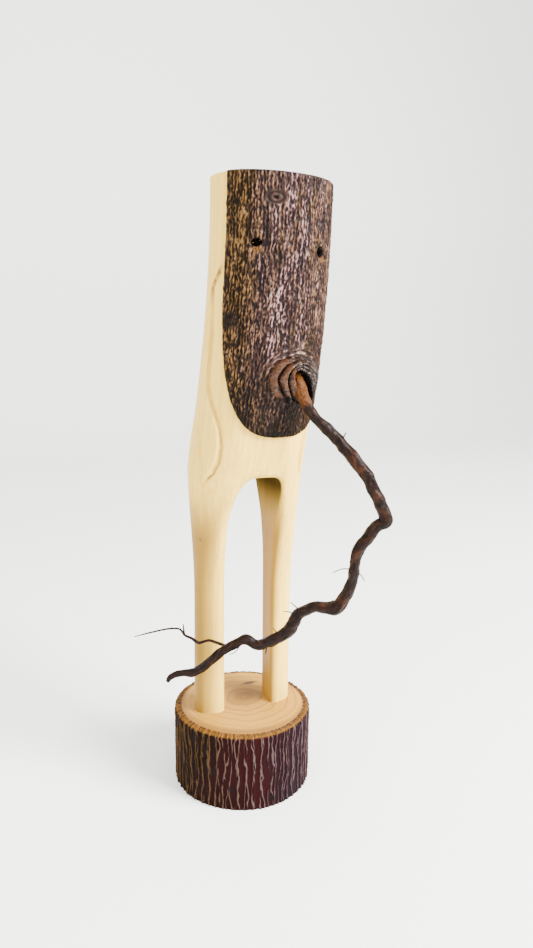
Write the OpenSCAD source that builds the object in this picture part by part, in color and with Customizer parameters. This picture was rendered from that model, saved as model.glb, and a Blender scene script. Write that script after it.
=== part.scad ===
// Carved branch figure with a bark face and a long root nose, on a slice of log.
// The origin is the middle of the underside of the base. +Z is up, and the face looks along -Y.

/* [Base] */
// Diameter of the log slice over its bark
base_d = 73; // [60:1:90]
// Height of the log slice
base_h = 40.5; // [30:0.5:60]
// Thickness of the bark round the log slice
base_bark_t = 2.6; // [1.5:0.1:4]
// Thickness of the dark inner bark between the bark and the wood
base_bast_t = 1.1; // [0.6:0.1:2]

/* [Figure] */
// Height of the figure above the base
figure_h = 263; // [230:1:320]
// Width of the wood across the trunk
trunk_w = 55; // [46:1:66]
// Depth of the wood through the trunk, front to back
trunk_d = 52; // [44:1:63]
// Width across the hips, over the hands
hip_w = 56.6; // [50:0.2:68]
// Height of the hips above the base
hip_h = 138; // [120:1:150]
// Width over both legs at the feet
legs_w = 51.4; // [45:0.2:62]
// Depth of a leg at the foot, front to back
foot_d = 19; // [16:0.5:23]
// Width of the gap between the legs
gap_w = 25; // [20:0.5:30]
// Height of the arch between the legs above the base
arch_h = 126.5; // [100:0.5:130]
// Sideways lean of the head from the middle of the base
lean = 12.8; // [0:0.2:18]
// Slope of the sawn top of the head, in degrees
top_slope = 2.8; // [0:0.2:6]
// Depth of the carved line round each arm and hand
arm_relief = 1.4; // [0.6:0.1:2]

/* [Bark face] */
// Thickness of the bark on the face
bark_t = 2; // [1:0.1:3]
// Height of the lowest point of the bark face above the base
face_h = 146.5; // [140:0.5:155]
// Angle from the middle of the bark face to its side edge
face_half = 73; // [60:1:80]
// Angle that the middle of the bark face is turned to the figure's left
face_turn = 12; // [0:1:15]
// Width of an eye hole
eye_w = 5.3; // [4:0.1:7]
// Height of an eye hole
eye_h = 3.5; // [2.5:0.1:5]
// Depth of an eye hole into the wood
eye_depth = 2; // [1:0.1:4]
// Height of the eyes above the base
eyes_h = 232; // [215:0.5:245]

/* [Nose] */
// Height of the nose socket above the base
socket_h = 170.5; // [166:0.5:185]
// Angle that the nose socket is turned to the figure's left
nose_turn = 18; // [0:1:25]
// Diameter of the knot collar round the nose
collar_d = 23; // [20:0.5:29]
// Rise of the knot collar above the bark
collar_rise = 5; // [3:0.1:7]
// Diameter of the mouth in the middle of the knot collar
mouth_d = 9.5; // [8:0.1:12]
// Diameter of the root where it is thickest between its knots
root_d = 5.4; // [4:0.1:6.5]
// Diameter of the whittled tenon on the root
tenon_d = 4.4; // [3.5:0.1:5.5]
// Length of the tenon inside the wood
tenon_l = 14; // [8:0.5:18]

/* [Fits] */
// Gap all round for the glue in a socket or a dowel hole
glue_gap = 0.1; // [0.05:0.01:0.2]
// Gap between the bark pieces and the wood that they grew on
bark_gap = 0.15; // [0.1:0.01:0.3]
// Diameter of the dowel in each leg
dowel_d = 6; // [4:0.5:8]
// Length of the dowel in each leg, half of it in the base
dowel_l = 30; // [20:1:50]

/* [Hidden] */

base_r = base_d / 2;
base_bast_r = base_r - base_bark_t;
base_wood_r = base_bast_r - base_bast_t;

trunk_front = trunk_d / 2 + 1;
trunk_back = trunk_d / 2 - 1;
leg_front = foot_d / 2 - 0.5;
leg_back = foot_d / 2 + 0.5;
gap_x = 1;
leg_a_x = (gap_x - gap_w / 2 - legs_w / 2) / 2;
leg_b_x = (gap_x + gap_w / 2 + legs_w / 2) / 2;
leg_mid_y = (leg_back - leg_front) / 2;
leg_flare_h = arch_h - 64;
legs_lean = 0.8;

round_h = 70;
eye_half_turn = 31.25;
eyes_turn = 2.75;
collar_shift = 1;
collar_up = 2.5;
top_margin = 4;

ring_points = 60;
ring_step = 6;
face_cols = 28;
face_rows = 32;
collar_cells = 22;
root_sides = 8;
cyl_fn = 64;
overlap = 1;

wood_colour = [0.93, 0.86, 0.71];
ring_colour = [0.30, 0.17, 0.10];
bark_colour = [0.34, 0.25, 0.21];
root_colour = [0.25, 0.14, 0.10];
dowel_colour = [0.80, 0.65, 0.45];

// Route of the nose root from the mouth of the knot to its tip, as [left, forward, up, thickness].
// It is drawn for a trunk route_w wide and route_front deep, with its socket route_h up,
// and a root route_d thick, and is stretched to the real ones.
route_w = 55;
route_front = 27;
route_h = 170.5;
route_d = 5.4;
nose_route = [
    [16.5, 34, 168.5, 4.5], [18, 39.5, 161.5, 4.3], [25.5, 44.5, 151.5, 5], [33.5, 49.5, 142, 5.4],
    [40.5, 54, 132, 5.6], [44.5, 56.5, 123, 5.2], [47.5, 58, 116.5, 5.7], [49.5, 59.5, 111, 6.3],
    [45, 57.5, 108, 5.5], [41.5, 55, 101.5, 5.3], [38, 53, 95, 5.1], [37.5, 52, 88.5, 4.9],
    [37, 51, 81.5, 4.9], [35, 49, 73.5, 5.2], [31.5, 47, 67, 6.1], [27, 44, 66, 5],
    [22, 41.5, 66, 5], [16, 38.5, 62.5, 5.3], [13.5, 36.5, 57, 5.5], [10, 34, 51, 5.6],
    [4, 30.5, 47, 5.1], [-1, 27.5, 44, 4.4], [-7, 24.5, 46.5, 4.4], [-11.5, 22, 43.5, 4.2],
    [-16, 19.5, 40.5, 4.2], [-20.5, 17, 35.5, 4.2], [-25.5, 14.5, 30.5, 4], [-30, 12.5, 27.5, 3.5],
    [-35.5, 10, 27, 2.7], [-40.5, 7.5, 24, 1.6]
];
rootlet_route = [
    [-14.5, 20.5, 42, 1.6], [-17, 20, 43.5, 1.6], [-20.5, 19, 45, 1.5], [-23.5, 18, 46, 1.3],
    [-27.5, 16, 44.5, 1.4], [-29.5, 15.5, 45.5, 1.6], [-31, 14, 46.5, 1.3], [-34, 12.5, 48, 1.2],
    [-36.5, 11, 51, 1], [-42, 9, 51, 0.9], [-50, 5, 48.5, 0.8], [-57, 1.5, 46, 0.6]
];
twig_route = [[-34.3, 12.5, 48.5, 1], [-34.6, 12.6, 51, 0.8], [-34.8, 12.4, 54, 0.6]];
hair_routes = [
    [[15.5, 38.2, 64.5, 0.6], [13, 38.5, 67, 0.5], [11, 38.7, 69, 0.4]],
    [[14, 37.4, 62, 0.6], [11, 37, 63.4, 0.5], [8, 36.6, 64, 0.4]],
    [[7.5, 32.5, 50.5, 0.6], [5.5, 33.6, 53, 0.5], [4, 34.2, 55, 0.4]],
    [[37, 51.5, 86.5, 0.6], [32, 50.5, 87, 0.5], [27.5, 49.6, 85.5, 0.4]],
    [[38.5, 52, 85.5, 0.6], [40.5, 53.5, 83.5, 0.5], [41.5, 54.5, 81, 0.4]],
    [[-9, 24, 44, 0.6], [-12, 24.5, 41, 0.5], [-14.5, 23.5, 39.5, 0.4]],
    [[2.5, 29.5, 45, 0.7], [2.2, 30, 42.5, 0.6], [1.8, 30.4, 40.5, 0.5]],
    [[30.5, 48.5, 146.5, 0.8], [31.3, 49.4, 149.5, 0.6], [31.8, 50, 151, 0.5]]
];

// Angle round the trunk of the carved line in front of an arm, by height above the base
arm_line = [
    [110, 75], [123, 64], [129, 55], [135, 48.5], [143, 47], [150, 51], [158, 61], [166, 70],
    [170, 75.5], [177, 76], [186, 74.5], [194, 75], [207, 80], [215, 80.5], [220, 74], [225, 67]
];

// Smooth blending and measuring along the figure

function ease(t) = t * t * (3 - 2 * t);
function share(v, low, high) = min(max((v - low) / (high - low), 0), 1);
function signed_pow(v, p) = sign(v) * pow(abs(v), p);
function unit(v) = v / norm(v);

// A value that eases from one [height, value] of a table to the next
function profile(h, table) =
    let (i = max([for (k = [0:len(table) - 2]) table[k][0] <= h ? k : 0]))
    table[i][1] + (table[i + 1][1] - table[i][1]) * ease(share(h, table[i][0], table[i + 1][0]));

function half_width(h) =
    profile(h, [
        [0, legs_w / 2], [leg_flare_h, legs_w / 2 - 0.2], [hip_h, hip_w / 2],
        [socket_h - 8, trunk_w / 2], [figure_h, trunk_w / 2]
    ]);
function front_depth(h) =
    profile(h, [[0, leg_front], [leg_flare_h, leg_front + 0.7], [face_h, trunk_front], [figure_h, trunk_front]]);
function back_depth(h) =
    profile(h, [[0, leg_back], [leg_flare_h + 12, leg_back + 0.6], [hip_h, trunk_back], [figure_h, trunk_back]]);
function squareness(h) = profile(h, [[0, 2.8], [leg_flare_h, 2.8], [hip_h, 2.3], [figure_h, 2.15]]);
function centre_x(h) =
    legs_lean * share(h, 0, arch_h) + (lean - legs_lean) * sin(90 * share(h, arch_h, figure_h));

// A point on the wood at an angle from the front and a height above the base, moved outwards
function trunk_point(angle, h, out = 0) =
    let (power = 2 / squareness(h))
    [
        centre_x(h) + (half_width(h) + out) * signed_pow(sin(angle), power),
        -((cos(angle) >= 0 ? front_depth(h) : back_depth(h)) + out) * signed_pow(cos(angle), power),
        base_h + h
    ];

// How deep the wood is cut back beside the carved line in front of each arm
function arm_cut(angle, h) =
    let (
        off = (abs(angle) - lookup(h, arm_line)) / 7,
        fade = share(h, 108, 122) * (1 - share(h, 222, 232))
    )
    arm_relief * fade * exp(-off * off);

// Angle from the middle of the bark face to its edge, which rounds in towards the bottom
function face_reach(h) = face_half * pow(1 - pow(1 - share(h, face_h - 0.2, face_h + round_h), 2), 0.41);

// Closed surfaces

// A closed skin between an outer and an inner grid of points with the same rows and columns
module skin(outer, inner) {
    rows = len(outer) - 1;
    cols = len(outer[0]) - 1;
    wide = cols + 1;
    size = (rows + 1) * wide;
    points = [for (grid = [outer, inner]) for (row = grid) for (p = row) p];
    function quad(a, b, c, d) = [[a, b, c], [a, c, d]];
    faces = [
        for (i = [0:rows - 1]) for (j = [0:cols - 1])
            let (a = i * wide + j, b = a + 1, c = b + wide, d = a + wide)
            each concat(quad(a, d, c, b), quad(a + size, b + size, c + size, d + size)),
        for (j = [0:cols - 1])
            let (a = j, top = rows * wide + j)
            each concat(quad(a, a + 1, a + 1 + size, a + size), quad(top, top + size, top + 1 + size, top + 1)),
        for (i = [0:rows - 1])
            let (a = i * wide, b = a + cols)
            each concat(quad(a, a + size, a + wide + size, a + wide), quad(b, b + wide, b + wide + size, b + size))
    ];
    polyhedron(points, faces);
}

// A solid through a stack of closed rings with the same number of points
module loft(rings) {
    n = len(rings[0]);
    last = len(rings) - 1;
    faces = [
        [for (j = [0:n - 1]) j],
        for (i = [0:last - 1]) for (j = [0:n - 1])
            let (a = i * n + j, b = i * n + (j + 1) % n)
            each [[a, a + n, b + n], [a, b + n, b]],
        [for (j = [n - 1:-1:0]) last * n + j]
    ];
    polyhedron([for (ring = rings) for (p = ring) p], faces);
}

// A tapered stem along points that each carry a thickness
function stem_point(path, i) = [path[i][0], path[i][1], path[i][2]];
function stem_way(path, i) =
    unit(stem_point(path, min(i + 1, len(path) - 1)) - stem_point(path, max(i - 1, 0)));
module stem(path, sides, grow = 0) {
    side_hint = [0.3, 0.9, -0.3];
    loft([
        for (i = [0:len(path) - 1])
            let (
                way = stem_way(path, i),
                across = unit(cross(way, side_hint)),
                up = cross(way, across),
                r = path[i][3] / 2 + grow
            )
            [for (k = [0:sides - 1]) stem_point(path, i) + r * (across * cos(360 * k / sides) + up * sin(360 * k / sides))]
    ]);
}

// The points of a route with one rounded point added between each pair
function halfway(a, b, c, d) = (9 * (b + c) - a - d) / 16;
function rounded(path) =
    let (last = len(path) - 1)
    [
        for (i = [0:last - 1])
            each [path[i], halfway(path[max(i - 1, 0)], path[i], path[i + 1], path[min(i + 2, last)])],
        path[last]
    ];

// Where a point of a route comes on the real trunk
function placed(p) = [
    p[0] * trunk_w / route_w, -p[1] * trunk_front / route_front, base_h + p[2] * socket_h / route_h,
    p[3] * root_d / route_d
];

// Turns a child that stands along +Z so that it points out of the trunk at the nose
module along_nose(across = 0, up = 0) {
    translate(trunk_point(nose_turn, socket_h))
        rotate([0, 0, nose_turn])
            translate([across, 0, up])
                rotate([90, 0, 0])
                    children();
}

// Everything above the sawn top of the head
module above_top() {
    reach = 2 * trunk_w;
    translate([centre_x(figure_h), 0, base_h + figure_h])
        rotate([0, top_slope, 0])
            translate([-reach / 2, -reach / 2, 0])
                cube([reach, reach, reach]);
}

// An eye hole through the bark, side -1 for the right eye and 1 for the left eye
module eye(side) {
    angle = eyes_turn + side * eye_half_turn;
    translate(trunk_point(angle, eyes_h - 1.5 * side))
        rotate([90, 0, angle])
            translate([0, 0, -eye_depth])
                hull()
                    for (x = [-1, 1])
                        translate([x * (eye_w - eye_h) / 2, 0, 0])
                            cylinder(d = eye_h, h = eye_depth + 3 * bark_t, $fn = 24);
}

module dowel_holes(d, l) {
    for (x = [leg_a_x, leg_b_x])
        translate([x, leg_mid_y, base_h - l / 2])
            cylinder(d = d, h = l, $fn = cyl_fn);
}

module base_wood() {
    color(wood_colour)
        difference() {
            cylinder(r = base_wood_r, h = base_h, $fn = cyl_fn);
            dowel_holes(dowel_d + 2 * glue_gap, dowel_l + 2 * glue_gap);
        }
}

module log_layer(inner_r, outer_r) {
    difference() {
        cylinder(r = outer_r, h = base_h, $fn = cyl_fn);
        translate([0, 0, -overlap])
            cylinder(r = inner_r, h = base_h + 2 * overlap, $fn = cyl_fn);
    }
}

module base_bast() {
    color(ring_colour)
        log_layer(base_wood_r, base_bast_r);
}

module base_bark() {
    color(bark_colour)
        log_layer(base_bast_r, base_r);
}

module leg_dowels() {
    color(dowel_colour)
        dowel_holes(dowel_d, dowel_l);
}

// The gap between the legs, with an arch at its top that is squarer on the left leg's side
module leg_gap() {
    half = gap_w / 2;
    function rise(t) = cos(t) >= 0 ? 14 : 24;
    function power(t) = cos(t) >= 0 ? 2 / 5 : 2 / 3;
    arch = [
        for (t = [0:5:180])
            [half * signed_pow(cos(t), power(t)), arch_h + rise(t) * (pow(sin(t), power(t)) - 1)]
    ];
    translate([gap_x, trunk_d, base_h])
        rotate([90, 0, 0])
            linear_extrude(2 * trunk_d)
                polygon(concat([[half, -overlap]], arch, [[-half, -overlap]]));
}

module figure_body() {
    steps = ceil((figure_h + top_margin) / ring_step);
    color(wood_colour)
        difference() {
            loft([
                for (i = [0:steps])
                    let (h = (figure_h + top_margin) * i / steps)
                    [
                        for (k = [0:ring_points - 1])
                            let (angle = 360 * k / ring_points - 180)
                            trunk_point(angle, h, -arm_cut(angle, h))
                    ]
            ]);
            leg_gap();
            above_top();
            dowel_holes(dowel_d + 2 * glue_gap, dowel_l + 2 * glue_gap);
            along_nose()
                translate([0, 0, -tenon_l - glue_gap])
                    cylinder(d = tenon_d + 2 * glue_gap, h = tenon_l + 3, $fn = cyl_fn);
            eye(-1);
            eye(1);
        }
}

module bark_face() {
    function cell(i, j, out) =
        let (
            h = face_h + (figure_h + top_margin - face_h) * pow(i / face_rows, 1.5),
            across = 2 * j / face_cols - 1
        )
        trunk_point(face_turn + across * face_reach(h), h, out);
    function thinning(i, j) = max(pow(abs(2 * j / face_cols - 1), 12), i == 0 ? 1 : 0);
    color(bark_colour)
        difference() {
            skin(
                [
                    for (i = [0:face_rows])
                        [for (j = [0:face_cols]) cell(i, j, bark_gap + bark_t * (1 - 0.4 * thinning(i, j)))]
                ],
                [for (i = [0:face_rows]) [for (j = [0:face_cols]) cell(i, j, bark_gap)]]
            );
            above_top();
            along_nose(-collar_shift, collar_up)
                translate([0, 0, -collar_d / 2])
                    cylinder(d = collar_d + 2 * bark_gap, h = collar_d, $fn = cyl_fn);
            eye(-1);
            eye(1);
        }
}

// The callus round the nose, swelling from its edge to its mouth in rolls. Its mouth gives way to a thick root.
module knot_collar() {
    reach = collar_d / 2 + 1;
    roll_w = collar_d / 7;
    roll_rise = 0.5;
    function cell_angle(i) = nose_turn + asin((2 * i / collar_cells * reach - reach - collar_shift) / (trunk_w / 2));
    function cell_h(j) = socket_h + collar_up + 2 * j / collar_cells * reach - reach;
    function swell(i, j) =
        let (r = norm([2 * i / collar_cells - 1, 2 * j / collar_cells - 1]) * reach)
        r < collar_d / 2 ? collar_rise * cos(180 * r / collar_d) + roll_rise * abs(sin(180 * r / roll_w)) : 0;
    color(bark_colour)
        difference() {
            intersection() {
                skin(
                    [
                        for (j = [0:collar_cells])
                            [for (i = [0:collar_cells]) trunk_point(cell_angle(i), cell_h(j), bark_gap + bark_t + swell(i, j))]
                    ],
                    [for (j = [0:collar_cells]) [for (i = [0:collar_cells]) trunk_point(cell_angle(i), cell_h(j), bark_gap)]]
                );
                along_nose(-collar_shift, collar_up)
                    translate([0, 0, -collar_d / 2])
                        cylinder(d = collar_d, h = collar_d, $fn = cyl_fn);
            }
            along_nose()
                translate([0, 0, -collar_d / 2])
                    cylinder(d = mouth_d, h = collar_d, $fn = cyl_fn);
            root_stem(bark_gap);
        }
}

// The root's stem, which starts inside the tenon
function socket_exit(out) =
    let (p = trunk_point(nose_turn, socket_h))
    [p[0] + out * sin(nose_turn), p[1] - out * cos(nose_turn), p[2], tenon_d];
module root_stem(grow = 0) {
    stem(rounded(concat([socket_exit(1), socket_exit(4)], [for (p = nose_route) placed(p)])), root_sides, grow);
}

module root_nose() {
    color(root_colour)
        union() {
            root_stem();
            along_nose()
                translate([0, 0, -tenon_l])
                    cylinder(d = tenon_d, h = tenon_l + 2, $fn = cyl_fn);
        }
}

module side_rootlet() {
    color(root_colour)
        difference() {
            union() {
                stem([for (p = rootlet_route) placed(p)], root_sides);
                stem([for (p = twig_route) placed(p)], root_sides);
            }
            root_stem(glue_gap);
        }
}

module root_hairs() {
    color(root_colour)
        difference() {
            for (route = hair_routes)
                stem([for (p = route) placed(p)], 6);
            root_stem(glue_gap);
        }
}

base_wood();
base_bast();
base_bark();
leg_dowels();
figure_body();
bark_face();
knot_collar();
root_nose();
side_rootlet();
root_hairs();
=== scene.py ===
"""Looks of a carved branch figure with a bark face and a long root for a nose, on a slice of log.

Lengths are in millimetres, as a carver would give them, and each mesh is scaled to metres when it is
finished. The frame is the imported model's: +Z is up, the face looks along -Y and +X is the figure's left.
"""

import logging
import math
from dataclasses import dataclass, field
from enum import Enum
from itertools import product
from typing import Callable, Iterable, Union

import bmesh
import bpy
import numpy as np
from mathutils import Matrix, Vector


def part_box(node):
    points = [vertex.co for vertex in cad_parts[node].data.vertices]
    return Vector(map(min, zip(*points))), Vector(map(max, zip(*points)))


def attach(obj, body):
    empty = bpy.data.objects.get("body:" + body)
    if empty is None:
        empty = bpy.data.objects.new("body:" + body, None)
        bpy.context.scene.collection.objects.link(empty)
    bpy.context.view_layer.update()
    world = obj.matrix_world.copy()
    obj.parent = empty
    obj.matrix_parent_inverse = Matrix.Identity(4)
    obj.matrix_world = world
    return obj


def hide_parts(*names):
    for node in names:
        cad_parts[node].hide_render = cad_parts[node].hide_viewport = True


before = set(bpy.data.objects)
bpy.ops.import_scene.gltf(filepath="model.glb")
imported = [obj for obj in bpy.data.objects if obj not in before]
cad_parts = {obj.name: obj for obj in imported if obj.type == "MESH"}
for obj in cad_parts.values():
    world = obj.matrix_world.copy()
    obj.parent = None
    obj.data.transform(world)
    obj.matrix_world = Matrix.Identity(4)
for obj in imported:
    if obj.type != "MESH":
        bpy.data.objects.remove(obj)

LOG = logging.getLogger("branch_figure")
MM = 0.001
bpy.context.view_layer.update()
Array = np.ndarray
Place = Callable[[Array, Array], tuple[Array, dict[str, Array]]]
Socket = bpy.types.NodeSocket
Value = Union[Socket, float, tuple]


# ---------------------------------------------------------------- fields and curves


class RandomField:
    """A smooth random field in space, which is the same on every run."""

    def __init__(self, seed: int) -> None:
        """Shuffles the lattice.

        Args:
            seed: Picks one field from many.
        """
        maker = np.random.RandomState(seed)
        order = maker.permutation(256)
        self.order = np.concatenate([order, order])
        slopes = maker.normal(size=(256, 3))
        self.slopes = slopes / np.linalg.norm(slopes, axis=1, keepdims=True)

    def at(self, x: Array, y: Array, z: Array) -> Array:
        """Reads the field.

        Args:
            x: Coordinates, one lattice cell to the unit.
            y: The same, along Y.
            z: The same, along Z.

        Returns:
            Values from about -0.9 to 0.9, which are 0 on average.
        """
        p = np.stack(np.broadcast_arrays(x, y, z), axis=-1).astype(float)
        cell = np.floor(p).astype(int)
        inside = p - cell
        ease = inside ** 3 * (inside * (inside * 6 - 15) + 10)
        total = np.zeros(p.shape[:-1])
        for corner in product((0, 1), repeat=3):
            spot = (cell + corner) & 255
            key = self.order[self.order[self.order[spot[..., 0]] + spot[..., 1]] + spot[..., 2]]
            slope = ((inside - corner) * self.slopes[key]).sum(-1)
            weight = np.prod(np.where(np.array(corner) == 1, ease, 1 - ease), axis=-1)
            total += weight * slope
        return total * 1.5

    def layered(self, x: Array, y: Array, z: Array, layers: int = 3) -> Array:
        """Adds finer and weaker copies of the field.

        Args:
            x: Coordinates along X.
            y: Coordinates along Y.
            z: Coordinates along Z.
            layers: How many copies, each twice as fine and half as strong.

        Returns:
            The sum.
        """
        return sum(self.at(x * 2 ** k + 7 * k, y * 2 ** k, z * 2 ** k) / 2 ** k for k in range(layers))


def smooth_step(v: Array, low: float, high: float) -> Array:
    """Rises smoothly from 0 at low to 1 at high."""
    t = np.clip((v - low) / (high - low), 0, 1)
    return t * t * (3 - 2 * t)


def eased(h: Array, table: list[tuple[float, float]]) -> Array:
    """Eases from one value of a table to the next.

    Args:
        h: Where to read the table.
        table: Pairs of place and value, in rising order.

    Returns:
        The values.
    """
    places, values = (np.array(column, float) for column in zip(*table))
    i = np.clip(np.searchsorted(places, h, side="right") - 1, 0, len(places) - 2)
    t = np.clip((h - places[i]) / (places[i + 1] - places[i]), 0, 1)
    return values[i] + (values[i + 1] - values[i]) * t * t * (3 - 2 * t)


def lookup(h: Array, table: list[tuple[float, float]]) -> Array:
    """Reads a table of place and value pairs in straight lines."""
    places, values = zip(*table)
    return np.interp(h, places, values)


def smooth_max(a: Array, b: Array, blend: Array) -> Array:
    """The larger of two distances, rounded where they are within blend of each other."""
    near = np.maximum(blend - np.abs(a - b), 0) / blend
    return np.maximum(a, b) + near * near * blend / 4


def signed_power(v: Array, power: Array) -> Array:
    """A power that keeps the sign."""
    return np.sign(v) * np.abs(v) ** power


def wavy_lines(phase: Array, gap: float, width: float) -> Array:
    """Thin lines at each whole number of a phase.

    Args:
        phase: The phase, which is 1 further on at each line.
        gap: The distance between lines.
        width: A line's half width.

    Returns:
        1 on a line, falling to 0 beside it.
    """
    off = (phase - np.rint(phase)) * gap
    return np.exp(-(off / width) ** 2)


# ---------------------------------------------------------------- mesh work


def grid_bmesh(cols: int, rows: int, place: Place) -> bmesh.types.BMesh:
    """Makes a grid and moves its points to where a rule puts them.

    Args:
        cols: Cells along u.
        rows: Cells along v.
        place: Takes u and v from 0 to 1 and gives points, and named values for each point.

    Returns:
        The grid, with the named values as vertex layers.
    """
    bm = bmesh.new()
    bmesh.ops.create_grid(bm, x_segments=cols, y_segments=rows, size=0.5)
    uv = np.array([vert.co[:2] for vert in bm.verts]) + 0.5
    points, values = place(uv[:, 0], uv[:, 1])
    move_points(bm.verts, points)
    set_layers(bm, values)
    return bm


def move_points(verts: Iterable[bmesh.types.BMVert], points: Array) -> None:
    """Moves each vertex to its row of an array."""
    for vert, point in zip(verts, points):
        vert.co = point


def read_points(bm: bmesh.types.BMesh) -> Array:
    """Every vertex's place, one row each."""
    return np.array([vert.co[:] for vert in bm.verts])


def set_layers(bm: bmesh.types.BMesh, values: dict[str, Array]) -> None:
    """Stores named values on a mesh.

    Args:
        bm: The mesh.
        values: One number, or one vector, for each vertex, by name.
    """
    for name, column in values.items():
        layers = bm.verts.layers.float if column.ndim == 1 else bm.verts.layers.float_vector
        layer = layers.get(name) or layers.new(name)
        for vert, value in zip(bm.verts, column):
            vert[layer] = value


def rim_edges(bm: bmesh.types.BMesh) -> list[bmesh.types.BMEdge]:
    """The edges with a face on one side only."""
    return [edge for edge in bm.edges if edge.is_boundary]


def made_verts(made: dict) -> list[bmesh.types.BMVert]:
    """The vertices that an operator made."""
    return [item for item in made["geom"] if isinstance(item, bmesh.types.BMVert)]


def weld_rim(bm: bmesh.types.BMesh, weld: float = 1e-3) -> None:
    """Makes one point of rim points that are nearer than weld."""
    rim = list(dict.fromkeys(vert for edge in rim_edges(bm) for vert in edge.verts))
    bmesh.ops.remove_doubles(bm, verts=rim, dist=weld)


def add_mesh(whole: bmesh.types.BMesh, bm: bmesh.types.BMesh) -> None:
    """Adds one mesh to another, and frees the one that was added.

    Args:
        whole: The mesh that grows.
        bm: The mesh that is added.
    """
    single = bpy.data.meshes.new("single")
    bm.to_mesh(single)
    bm.free()
    whole.from_mesh(single)


def close_up(bm: bmesh.types.BMesh, weld: float = 1e-3) -> None:
    """Welds open seams, fills the holes that are left and turns the faces outwards.

    Args:
        bm: The mesh.
        weld: Rim points nearer than this become one.
    """
    weld_rim(bm, weld)
    bmesh.ops.holes_fill(bm, edges=rim_edges(bm), sides=0)
    bmesh.ops.recalc_face_normals(bm, faces=bm.faces)


def spun(corners: list[tuple[float, float, int]], steps: int, closed: bool = False) -> bmesh.types.BMesh:
    """Spins an outline round the Z axis.

    Args:
        corners: Radius, height and the number of cells to the next corner.
        steps: Cells in a full turn.
        closed: Whether the outline comes back to its first corner, as a ring's does.

    Returns:
        The spun mesh, welded.
    """
    bm = bmesh.new()
    ends = corners[1:] + corners[:1] if closed else corners[1:]
    spots = [
        (r + (end[0] - r) * k / cells, z + (end[1] - z) * k / cells)
        for (r, z, cells), end in zip(corners, ends) for k in range(cells)
    ]
    if not closed:
        spots.append(corners[-1][:2])
    verts = [bm.verts.new((r, 0, z)) for r, z in spots]
    pairs = zip(verts, verts[1:] + verts[:1]) if closed else zip(verts, verts[1:])
    edges = [bm.edges.new(pair) for pair in pairs]
    bmesh.ops.spin(bm, geom=verts + edges, cent=(0, 0, 0), axis=(0, 0, 1), angle=math.tau,
                   steps=steps, use_merge=True, use_duplicate=False)
    poles = [vert for vert in bm.verts if math.hypot(vert.co.x, vert.co.y) < 1e-4]
    bmesh.ops.remove_doubles(bm, verts=poles, dist=1e-3)
    bmesh.ops.recalc_face_normals(bm, faces=bm.faces)
    return bm


def to_object(bm: bmesh.types.BMesh, name: str, material: bpy.types.Material) -> bpy.types.Object:
    """Turns a mesh in millimetres into a smooth object in the scene.

    Args:
        bm: The mesh, which is freed.
        name: The object's name.
        material: Its finish.

    Returns:
        The object.
    """
    bmesh.ops.scale(bm, vec=(MM, MM, MM), verts=bm.verts)
    for face in bm.faces:
        face.smooth = True
    mesh = bpy.data.meshes.new(name)
    bm.to_mesh(mesh)
    bm.free()
    mesh.materials.append(material)
    made = bpy.data.objects.new(name, mesh)
    bpy.context.scene.collection.objects.link(made)
    return made


def finish_piece(
    bm: bmesh.types.BMesh, name: str, material: bpy.types.Material,
    nodes: tuple[str, ...] = (), crease: float = 50.0,
) -> bpy.types.Object:
    """Turns a mesh in millimetres into a piece of the model.

    Args:
        bm: The mesh, which is freed.
        name: The piece's name.
        material: Its finish.
        nodes: The frame's nodes that it stands for.
        crease: Edges sharper than this many degrees stay sharp.

    Returns:
        The object.
    """
    piece = to_object(bm, name, material)
    piece.data.set_sharp_from_angle(angle=math.radians(crease))
    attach(piece, "root")
    if nodes:
        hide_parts(*nodes)
    LOG.info("%s: %d faces", name, len(piece.data.polygons))
    return piece


# ---------------------------------------------------------------- the branch's own shape


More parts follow.
